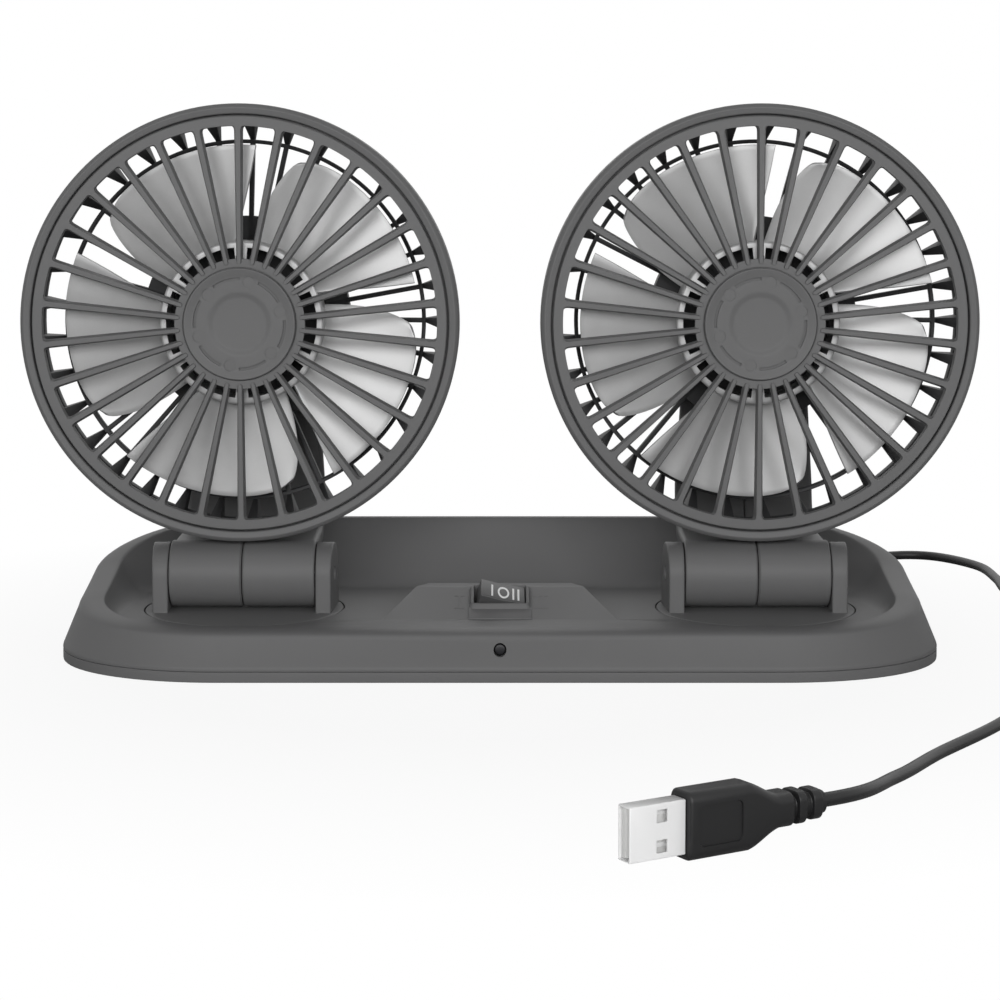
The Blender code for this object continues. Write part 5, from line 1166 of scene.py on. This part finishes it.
BLADE_EDGE = 0.35 * MM
FLOW_SIZE = 9 * MM
FLAKE_SIZE = 0.5 * MM
FLOW_RISE = 0.3 * MM
BLADE_RADIAL_STEPS = 18
BLADE_CHORD_STEPS = 26


def blade_sheet():
    """Shape a grid into one blade: twisted, cambered and swept, with one corner of its tip rounded off."""
    start_fresh()
    bpy.ops.mesh.primitive_grid_add(x_subdivisions=BLADE_RADIAL_STEPS, y_subdivisions=BLADE_CHORD_STEPS,
                                    size=2)
    blade = bpy.context.object
    root = IMPELLER_HUB_RADIUS - IMPELLER_WALL / 2
    for spot in blade.data.vertices:
        radial, chord = (spot.co.x + 1) / 2, (spot.co.y + 1) / 2
        radius = root + (BLADE_TIP_RADIUS - root) * radial
        centre = BLADE_ROOT_CENTRE + (BLADE_TIP_CENTRE - BLADE_ROOT_CENTRE) * radial ** BLADE_SKEW_POWER
        span = (BLADE_ROOT_SPAN + (BLADE_TIP_SPAN - BLADE_ROOT_SPAN) * radial
                + BLADE_BULGE_SPAN * math.sin(math.pi * radial))
        depth = BLADE_ROOT_DEPTH + (BLADE_TIP_DEPTH - BLADE_ROOT_DEPTH) * radial
        shorter = BLADE_TIP_ROUND_SHARE * (radial * chord) ** BLADE_CORNER_POWER
        camber = BLADE_CAMBER_SHARE * 4 * chord * (1 - chord)
        along = IMPELLER_FRONT + BLADE_THICKNESS + depth * (chord + camber) / (1 + BLADE_CAMBER_SHARE)
        spot.co = around_head(radius * (1 - shorter), math.radians(centre + span * (chord - 0.5)), along)
    wall = blade.modifiers.new("wall", "SOLIDIFY")
    wall.thickness = BLADE_THICKNESS
    wall.offset = 0
    bpy.ops.object.modifier_apply(modifier=wall.name)
    return softened(blade, BLADE_EDGE, angle=BROAD_ANGLE)


silver = Finish("silver_plastic", (0.47, 0.47, 0.47), roughness=0.36, metallic=0.2)
flow = silver.noise(FLOW_SIZE, CLOUD_DETAIL)
flake = silver.noise(FLAKE_SIZE)
silver.tint(mixed(flow, flake, share=0.75), darker=0.9, lighter=1.1)
silver.sheen(mixed(flow, flake, SHEEN_SHARE), smoothest=0.3, roughest=0.48)
silver.grain(flow, depth=0.1, distance=FLOW_RISE)
hub_floor = IMPELLER_FRONT + IMPELLER_WALL
hub_back = IMPELLER_FRONT + IMPELLER_HUB_DEPTH
hub_inside = IMPELLER_HUB_RADIUS - IMPELLER_WALL
shaft_bore = SHAFT_RADIUS + SEAT_GAP
boss_back = MOTOR_FRONT - 2 * SEAT_GAP
hub_profile = [(0, IMPELLER_FRONT)]
hub_profile += [(radius, -along) for radius, along in
                arc(IMPELLER_EDGE, 90, 0, 4,
                    (IMPELLER_HUB_RADIUS - IMPELLER_EDGE, -IMPELLER_FRONT - IMPELLER_EDGE))]
hub_profile += [(IMPELLER_HUB_RADIUS, hub_back), (hub_inside, hub_back), (hub_inside, hub_floor),
                (IMPELLER_BOSS_RADIUS, hub_floor), (IMPELLER_BOSS_RADIUS, boss_back), (shaft_bore, boss_back),
                (shaft_bore, hub_floor), (0, hub_floor)]
impeller = turned("fan", hub_profile, FINE_STEPS, head_centre)
window = arc(WINDOW_OUTER, WINDOW_START, WINDOW_START + WINDOW_SPAN, WINDOW_STEPS)
window += arc(WINDOW_INNER, WINDOW_START + WINDOW_SPAN, WINDOW_START, WINDOW_STEPS)
window_places = (IMPELLER_FRONT - OVERRUN, hub_floor + OVERRUN)
window_cutter = lofted("windows", [across_head(window, along) for along in window_places])
combined(impeller, copied_round(window_cutter, IMPELLER_WINDOWS))
combined(impeller, copied_round(blade_sheet(), BLADES), "UNION")
both(impeller, silver, "fan", "silver_plastic", "impeller")

# Rear guard. One black moulding: a rim, thirty-three thin ribs that are deep fins by the rim, a hoop where
# the fins begin and a ring for the motor. It is snapped into the back of the rim ring.
GUARD_RIBS = 33
GUARD_RIB_WIDTH = 1.4 * MM
GUARD_FIN_WIDTH = 3.6 * MM
GUARD_RIM_WIDTH = 4.8 * MM
GUARD_RIM_DEPTH = 1.8 * MM
GUARD_RIM_SLOPE = 2.7 * MM
GUARD_FIN_FRONT = 3.4 * MM
GUARD_FIN_HOLLOW = 0.2 * MM
GUARD_HOOP_RADIUS = 54 * MM
GUARD_HOOP_WIDTH = 1.2 * MM
GUARD_HOOP_BACK = 18 * MM
GUARD_RIB_DEPTH = 2.5 * MM
GUARD_HUB_RADIUS = 31.5 * MM
GUARD_HUB_BACK = 22.5 * MM
MOTOR_RADIUS = 12.5 * MM
FIN_STEPS = 8
GUARD_RIM_EDGE = 0.5 * MM
GUARD_HOOP_EDGE = 0.3 * MM
GUARD_RIB_EDGE = 0.15 * MM

black = moulded("black_guard_plastic", (0.02, 0.02, 0.021), roughness=0.55, grain_size=0.3 * MM,
                grain_depth=0.2, gloss=0.35)
guard_front = RING_DEPTH + SEAT_GAP
guard_outside = HEAD_RADIUS - SEAT_GAP
guard_inside = guard_outside - GUARD_RIM_WIDTH
rib_back = guard_front + GUARD_RIM_DEPTH + GUARD_RIM_SLOPE
rim_profile = ((guard_inside, guard_front), (guard_outside, guard_front),
               (guard_outside, guard_front + GUARD_RIM_DEPTH), (guard_inside, rib_back))
rim_profile = eased(rim_profile, GUARD_RIM_EDGE)
rear_guard = turned("guard", rim_profile, RING_STEPS, head_centre, closed=True)
hoop_in = GUARD_HOOP_RADIUS - GUARD_HOOP_WIDTH / 2
hoop_out = GUARD_HOOP_RADIUS + GUARD_HOOP_WIDTH / 2
hoop_back = GUARD_HOOP_BACK + GUARD_RIB_DEPTH
hoop_profile = ((hoop_in, GUARD_HOOP_BACK), (hoop_out, GUARD_HOOP_BACK - SEAT_GAP),
                (hoop_out, hoop_back - SEAT_GAP), (hoop_in, hoop_back))
hoop_profile = eased(hoop_profile, GUARD_HOOP_EDGE)
combined(rear_guard, turned("hoop", hoop_profile, RING_STEPS, head_centre, closed=True), "UNION")
motor_bore = MOTOR_RADIUS + SEAT_GAP
motor_ring_back = GUARD_HUB_BACK + GUARD_RIB_DEPTH
ring_profile = [(motor_bore, GUARD_HUB_BACK), (GUARD_HUB_RADIUS, GUARD_HUB_BACK),
                (GUARD_HUB_RADIUS, motor_ring_back), (motor_bore, motor_ring_back)]
combined(rear_guard, turned("motor_ring", ring_profile, FINE_STEPS, head_centre, closed=True), "UNION")
fin_run = guard_inside - SEAT_GAP - hoop_out
rib_start = GUARD_HUB_RADIUS - OVERRUN
rib_outline = [(rib_start, motor_ring_back), (rib_start, GUARD_HUB_BACK), (hoop_in, GUARD_HOOP_BACK)]
for step in range(FIN_STEPS + 1):
    share = step / FIN_STEPS
    rise = (GUARD_HOOP_BACK - SEAT_GAP - GUARD_FIN_FRONT) * share
    hollow = GUARD_FIN_HOLLOW * 4 * share * (1 - share)
    rib_outline.append((hoop_out + fin_run * share + hollow, GUARD_HOOP_BACK - SEAT_GAP - rise))
rib_outline += [(guard_inside + SEAT_GAP, GUARD_FIN_FRONT), (guard_inside + SEAT_GAP, rib_back - SEAT_GAP),
                (hoop_out, hoop_back - SEAT_GAP), (hoop_in, hoop_back)]
rib_sides = []
for side in (-1, 1):
    rib_sides.append([])
    for radius, along in rib_outline:
        widening = (GUARD_FIN_WIDTH - GUARD_RIB_WIDTH) * max(0, radius - hoop_out) / fin_run
        rib_sides[-1].append(head_centre + Vector((radius, along, side * (GUARD_RIB_WIDTH + widening) / 2)))
ribs = softened(lofted("ribs", rib_sides), GUARD_RIB_EDGE, angle=BROAD_ANGLE)
combined(rear_guard, copied_round(ribs, GUARD_RIBS), "UNION")
both(rear_guard, black, "head", "black_plastic", "rear_guard")

# Motor cover. A black domed cup over the motor behind the guard, with a sleeve that grips the motor can. The
# arm's end is fixed to its flat back.
MOTOR_COVER_DEPTH = 19.7 * MM
MOTOR_COVER_RIM = 2.7 * MM
MOTOR_COVER_BACK_RADIUS = 19 * MM
MOTOR_COVER_WALL = 2 * MM
MOTOR_LENGTH = 22 * MM
DOME_STEPS = 16

dome_front = motor_ring_back + SEAT_GAP
dome_back = dome_front + MOTOR_COVER_DEPTH


def dome(inset):
    """Give the motor cover's section from its front rim to its back, at a distance inside it."""
    wide = GUARD_HUB_RADIUS - inset
    narrow = MOTOR_COVER_BACK_RADIUS - inset
    back = dome_back - inset
    slope = back - dome_front - MOTOR_COVER_RIM
    section = [(wide, dome_front)]
    for step in range(DOME_STEPS + 1):
        turn = math.pi / 2 * step / DOME_STEPS
        section.append((narrow + (wide - narrow) * math.cos(turn), back - slope * (1 - math.sin(turn))))
    return section


can_back = MOTOR_FRONT + MOTOR_LENGTH + SEAT_GAP
sleeve = motor_bore + MOTOR_COVER_WALL
dome_profile = [(0, can_back), (motor_bore, can_back), (motor_bore, dome_front), (sleeve, dome_front),
                (sleeve, dome_back - MOTOR_COVER_WALL)]
dome_profile += dome(MOTOR_COVER_WALL)[::-1] + dome(0) + [(0, dome_back)]
motor_cover = turned("motor_dome", dome_profile, FINE_STEPS, head_centre)
both(motor_cover, black, "head", "black_plastic", "motor_cover")

# Strain relief. A black rubber boot with three soft rings, held in the back wall by its inner flange.
GLAND_FLANGE_RADIUS = 4.4 * MM
GLAND_FLANGE = 1.4 * MM
GLAND_RINGS = 3
GLAND_RING_GROOVE = 0.6 * MM
GLAND_BOOT_RADIUS = 4 * MM
GLAND_TIP_RADIUS = 2.3 * MM
GLAND_EDGE = 0.3 * MM
GLAND_RING_SHARE = 1.5

gland_root = gland_high.y - GLAND_LENGTH
wall_rise, wall_inset = wall_form(BASE_DEPTH / 2)
wall_lean = (wall_inset - SHOULDER_RUN) / (DISH_HEIGHT + wall_rise - SHOULDER_DROP - PART_LINE)
flange_inside = -WALL - wall_lean * GLAND_FLANGE_RADIUS - SEAT_GAP
boot_start = wall_lean * GLAND_FLANGE_RADIUS + SEAT_GAP
gland_sleeve = GLAND_HOLE_RADIUS - SEAT_GAP
gland_profile = stepped(flange_inside - GLAND_FLANGE, (GLAND_FLANGE_RADIUS, flange_inside),
                        (gland_sleeve, boot_start))[:-1]
half_pitch = (GLAND_LENGTH - boot_start) / GLAND_RINGS / 2
for number in range(GLAND_RINGS):
    share = number / GLAND_RINGS
    radius = GLAND_BOOT_RADIUS + (GLAND_TIP_RADIUS - GLAND_BOOT_RADIUS) * share
    along = boot_start + (GLAND_LENGTH - boot_start) * share
    waist = radius - GLAND_RING_GROOVE
    gland_profile += [(radius, along), (radius, along + half_pitch), (waist, along + half_pitch),
                      (waist, along + GLAND_RING_SHARE * half_pitch)]
gland_profile += [(GLAND_TIP_RADIUS, GLAND_LENGTH), (0, GLAND_LENGTH)]
strain_relief = turned("strain_relief", eased(gland_profile, GLAND_EDGE, closed=False), SMALL_STEPS,
                       (GLAND_TIP.x, gland_root, GLAND_TIP.z))
fitted(strain_relief, jacket, "base", "cord_rubber", "cord_strain_relief")

# Tie. A flat black band of soft plastic round all the coil's turns.
TIE_THICKNESS = 0.9 * MM
TIE_HOLE_CORNER = 1.2 * MM
TIE_EDGE = 0.2 * MM

tie_low, tie_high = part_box("cord_tie")
tie_size = tie_high - tie_low


def tie_block(name, thinner, longer):
    """Draw a block with round corners in the tie's place, thinner and longer than the tie by so much."""
    rings = []
    for end in (-1, 1):
        outline = rounded(tie_size.x - 2 * thinner, tie_size.z - 2 * thinner,
                          TIE_HOLE_CORNER + TIE_THICKNESS - thinner)
        y = end * (tie_size.y / 2 + longer)
        rings.append([(tie_low + tie_high) / 2 + Vector((x, y, z)) for x, z in outline])
    return lofted(name, rings)


tie = softened(tie_block("coil_tie", 0, 0), TIE_EDGE, angle=BROAD_ANGLE)
combined(tie, tie_block("tie_hole", TIE_THICKNESS, tie_size.y / 2))
fitted(tie, jacket, "base", "cord_rubber", "cord_tie")

# Plug. Black rubber moulded over a bright folded steel shell. The grip is flat with rounded edges and a
# sunken panel on each side, tapers to the cord and ends in a ringed relief. A white tongue carries four
# contacts.
PLUG_HEIGHT = 15 * MM
PLUG_THICKNESS = 8 * MM
PLUG_CORNER = 2.2 * MM
PLUG_EDGE = 1.2 * MM
PLUG_ROUND_SHARE = 0.48
PLUG_GRIP_START = 2.5 * MM
PLUG_BODY_END = 18.4 * MM
PLUG_TAPER_END = 26.8 * MM
PLUG_PANEL_LENGTH = 11.3 * MM
PLUG_PANEL_HEIGHT = 8.8 * MM
PLUG_PANEL_CORNER = 1.3 * MM
PLUG_PANEL_DEPTH = 0.4 * MM
PLUG_NECK = 7.6 * MM
PLUG_GROOVE = 5.2 * MM
PLUG_NECK_END = 30.2 * MM
PLUG_RINGS = ((31.8 * MM, 33.8 * MM, 7.4 * MM), (36.0 * MM, 38.4 * MM, 6.8 * MM))
TAPER_STEPS = 8
TAPER_SOFT_SHARE = 0.5
RELIEF_EDGE = 0.3 * MM
SHELL_WIDTH = 12 * MM
SHELL_THICKNESS = 4.5 * MM
SHELL_WALL = 0.35 * MM
SHELL_EDGE = 0.3 * MM
SHELL_WINDOW = 2.8 * MM
SHELL_WINDOW_SPREAD = 6.5 * MM
SHELL_WINDOW_BACK = 3.8 * MM
TONGUE_THICKNESS = 1.7 * MM
TONGUE_SINK = 0.5 * MM
TONGUE_EDGE = 0.15 * MM
CONTACTS = (-3.5 * MM, -1.0 * MM, 1.0 * MM, 3.5 * MM)
CONTACT_WIDTH = 1.0 * MM
CONTACT_RISE = 0.08 * MM
CONTACT_EDGE = 0.03 * MM
CONTACT_LENGTH_SHARE = 0.62

plug_way = Vector((math.cos(PLUG_ANGLE), math.sin(PLUG_ANGLE), 0))
plug_frame = (Matrix.Translation(PLUG_TIP - plug_way * SHELL_LENGTH)
              @ Matrix.Rotation(PLUG_ANGLE + math.pi, 4, "Z"))


def on_plug(piece):
    """Lay a piece that was drawn along X where the plug lies."""
    piece.data.transform(plug_frame)
    return piece


front_thickness = PLUG_THICKNESS - PLUG_EDGE
front_height = PLUG_HEIGHT - PLUG_EDGE
plug_sizes = [(PLUG_GRIP_START, front_thickness, front_height)]
for back, out in arc(PLUG_EDGE / 2, 0, 90, 4):
    plug_sizes.append((PLUG_GRIP_START + PLUG_EDGE / 2 - back, front_thickness + 2 * out,
                       front_height + 2 * out))
for step in range(TAPER_STEPS + 1):
    share = step / TAPER_STEPS
    soft = share * share * (3 - 2 * share)
    part = TAPER_SOFT_SHARE * soft + (1 - TAPER_SOFT_SHARE) * share
    plug_sizes.append((PLUG_BODY_END + (PLUG_TAPER_END - PLUG_BODY_END) * share,
                       PLUG_THICKNESS + (PLUG_NECK - PLUG_THICKNESS) * soft,
                       PLUG_HEIGHT + (PLUG_NECK - PLUG_HEIGHT) * part))
relief = [(PLUG_TAPER_END, PLUG_NECK), (PLUG_NECK_END, PLUG_NECK), (PLUG_NECK_END, PLUG_GROOVE)]
for first, last, width in PLUG_RINGS:
    relief += [(first, PLUG_GROOVE), (first, width), (last, width), (last, PLUG_GROOVE)]
relief.append((OVERMOULD_LENGTH, PLUG_GROOVE))
for along, width in eased(relief, RELIEF_EDGE, closed=False)[1:]:
    plug_sizes.append((along, width, width))
plug_rings = []
for along, thickness, height in plug_sizes:
    outline = rounded(thickness, height, min(PLUG_CORNER, thickness * PLUG_ROUND_SHARE))
    plug_rings.append([(along, y, z) for y, z in outline])
overmould = lofted("plug_grip", plug_rings)
for side in (-1, 1):
    panel_middle = (PLUG_GRIP_START + PLUG_BODY_END) / 2
    panel_rings = []
    for depth, spread in ((PLUG_PANEL_DEPTH, 0), (-PLUG_PANEL_DEPTH, PLUG_PANEL_DEPTH)):
        outline = rounded(PLUG_PANEL_LENGTH + spread, PLUG_PANEL_HEIGHT + spread, PLUG_PANEL_CORNER)
        panel_rings.append([(panel_middle + x, side * (PLUG_THICKNESS / 2 - depth), z) for x, z in outline])
    combined(overmould, lofted("panel_hole", panel_rings))
fitted(on_plug(overmould), jacket, "base", "cord_rubber", "plug_overmould")

bright = Finish("bright_plating", (0.95, 0.95, 0.95), roughness=0.3, metallic=0.1)
bright.sheen(bright.noise(6 * MM, detail=1), smoothest=0.28, roughest=0.34)
shell_back = PLUG_GRIP_START - SEAT_GAP / 2
shell_long = SHELL_LENGTH + shell_back
shell_middle = shell_back - shell_long / 2
shell = block("shell", (shell_long, SHELL_THICKNESS, SHELL_WIDTH), (shell_middle, 0, 0), SHELL_EDGE)
inner_height = SHELL_THICKNESS - 2 * SHELL_WALL
inner_width = SHELL_WIDTH - 2 * SHELL_WALL
combined(shell, block("room", (shell_long + OVERRUN, inner_height, inner_width), (shell_middle, 0, 0)))
for side in (-1, 1):
    window = block("window", (SHELL_WINDOW, SHELL_THICKNESS + OVERRUN, SHELL_WINDOW),
                   (-SHELL_WINDOW_BACK, 0, side * SHELL_WINDOW_SPREAD / 2))
    combined(shell, window)
fitted(on_plug(shell), bright, "base", "plug_steel", "plug_shell")

tongue_plastic = Finish("tongue_plastic", (0.8, 0.8, 0.79), roughness=0.4)
tongue_plastic.tint(tongue_plastic.noise(3 * MM), darker=0.96, lighter=1.03)
tongue_long = shell_long - TONGUE_SINK
tongue_middle = shell_back - tongue_long / 2
tongue_y = inner_height / 2 - SEAT_GAP - TONGUE_THICKNESS / 2
tongue_size = (tongue_long, TONGUE_THICKNESS, inner_width - 2 * SEAT_GAP)
tongue = block("tongue", tongue_size, (tongue_middle, tongue_y, 0), TONGUE_EDGE, segments=2)
fitted(on_plug(tongue), tongue_plastic, "base", "white_plastic", "plug_tongue")
contact_size = (tongue_long * CONTACT_LENGTH_SHARE, 2 * CONTACT_RISE, CONTACT_WIDTH)
contact_y = tongue_y - TONGUE_THICKNESS / 2
for number, z in enumerate(CONTACTS, 1):
    contact = block(f"contact_{number}", contact_size, (tongue_middle, contact_y, z), CONTACT_EDGE, 1)
    on_plug(contact).data.materials.append(bright.material)
    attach(contact, "base")

# Inner pieces. The cover's screws, the motors with their shafts, the turntables' spring clips and the speed
# board keep the frame's plain meshes, and only get their finishes.
board_green = Finish("board_lacquer", (0.02, 0.14, 0.06), roughness=0.5)
board_green.tint(board_green.noise(4 * MM), darker=0.8, lighter=1.2)
for name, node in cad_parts.items():
    if name.endswith(("turntable_clip", "motor_can", "motor_shaft")) or name.startswith("cover_screw"):
        node.data.materials.clear()
        node.data.materials.append(steel.material)
    if name == "speed_board":
        node.data.materials.clear()
        node.data.materials.append(board_green.material)

# Setting. A plain white sheet under the fan in a white room, lit by two wide soft boxes: one in front and
# low, one behind and high. What the camera sees beyond the fan is plain white.
SHEET_SIZE = 6
SHEET_CLOUD = 300 * MM
KEY_PLACE = (0, -1.5, 0.47)
KEY_TURN = math.radians(76)
KEY_POWER = 19.5
KEY_WIDTH = 2
KEY_HEIGHT = 0.45
BACK_PLACE = (0, 1.1, 1)
BACK_TURN = math.radians(-49)
BACK_POWER = 3
BACK_WIDTH = 1.4
BACK_HEIGHT = 0.7
ROOM_LIGHT = 0.05
SHADOW_SHARE = 0.09
SHADOW_NEAR = 0.12
SHADOW_FAR = 0.26


def soft_box(name, place, turn, power, width, height):
    """Set up one large soft box that faces the fan."""
    bpy.ops.object.light_add(type="AREA", location=place, rotation=(turn, 0, 0))
    lamp = bpy.context.object
    lamp.name = name
    lamp.data.shape = "RECTANGLE"
    lamp.data.energy = power
    lamp.data.size = width
    lamp.data.size_y = height


def seen(tree):
    """Tell the rays that show the room itself: from the camera, in a reflection or through a clear piece."""
    path = tree.nodes.new("ShaderNodeLightPath")
    total = path.outputs["Is Camera Ray"]
    for name in ("Is Glossy Ray", "Is Transmission Ray"):
        either = tree.nodes.new("ShaderNodeMath")
        either.operation = "MAXIMUM"
        tree.links.new(total, either.inputs[0])
        tree.links.new(path.outputs[name], either.inputs[1])
        total = either.outputs[0]
    return total


bpy.ops.mesh.primitive_plane_add(size=SHEET_SIZE)
sheet = bpy.context.object
sheet.name = "sheet"
paper = Finish("white_sheet", (0.8, 0.8, 0.8), roughness=0.9)
paper.tint(paper.noise(SHEET_CLOUD), darker=0.99, lighter=1.01)
away = paper.node("ShaderNodeVectorMath", {"operation": "LENGTH"}, {0: paper.place}, "Value")
fade = {"Value": away, "From Min": SHADOW_NEAR, "From Max": SHADOW_FAR, "To Min": SHADOW_SHARE, "To Max": 0}
shadow = paper.node("ShaderNodeMapRange", None, fade)
white_share = paper.node("ShaderNodeLightPath", out="Is Camera Ray") * (1 - shadow)
lit = Wire(paper, paper.shader.outputs[0])
white = paper.node("ShaderNodeEmission")
surface = paper.node("ShaderNodeMixShader", None, {0: white_share, 1: lit, 2: white})
paper.feed(paper.tree.nodes["Material Output"], "Surface", surface)
sheet.data.materials.append(paper.material)

soft_box("key_light", KEY_PLACE, KEY_TURN, KEY_POWER, KEY_WIDTH, KEY_HEIGHT)
soft_box("back_light", BACK_PLACE, BACK_TURN, BACK_POWER, BACK_WIDTH, BACK_HEIGHT)
room = bpy.data.worlds.new("white_room")
bpy.context.scene.world = room
room.use_nodes = True
wall = room.node_tree.nodes["Background"]
wall.inputs["Color"].default_value = (1, 1, 1, 1)
strength = room.node_tree.nodes.new("ShaderNodeMapRange")
strength.inputs["To Min"].default_value = ROOM_LIGHT
strength.inputs["To Max"].default_value = 1
room.node_tree.links.new(seen(room.node_tree), strength.inputs["Value"])
room.node_tree.links.new(strength.outputs["Result"], wall.inputs["Strength"])
bpy.context.scene.view_settings.view_transform = "Standard"
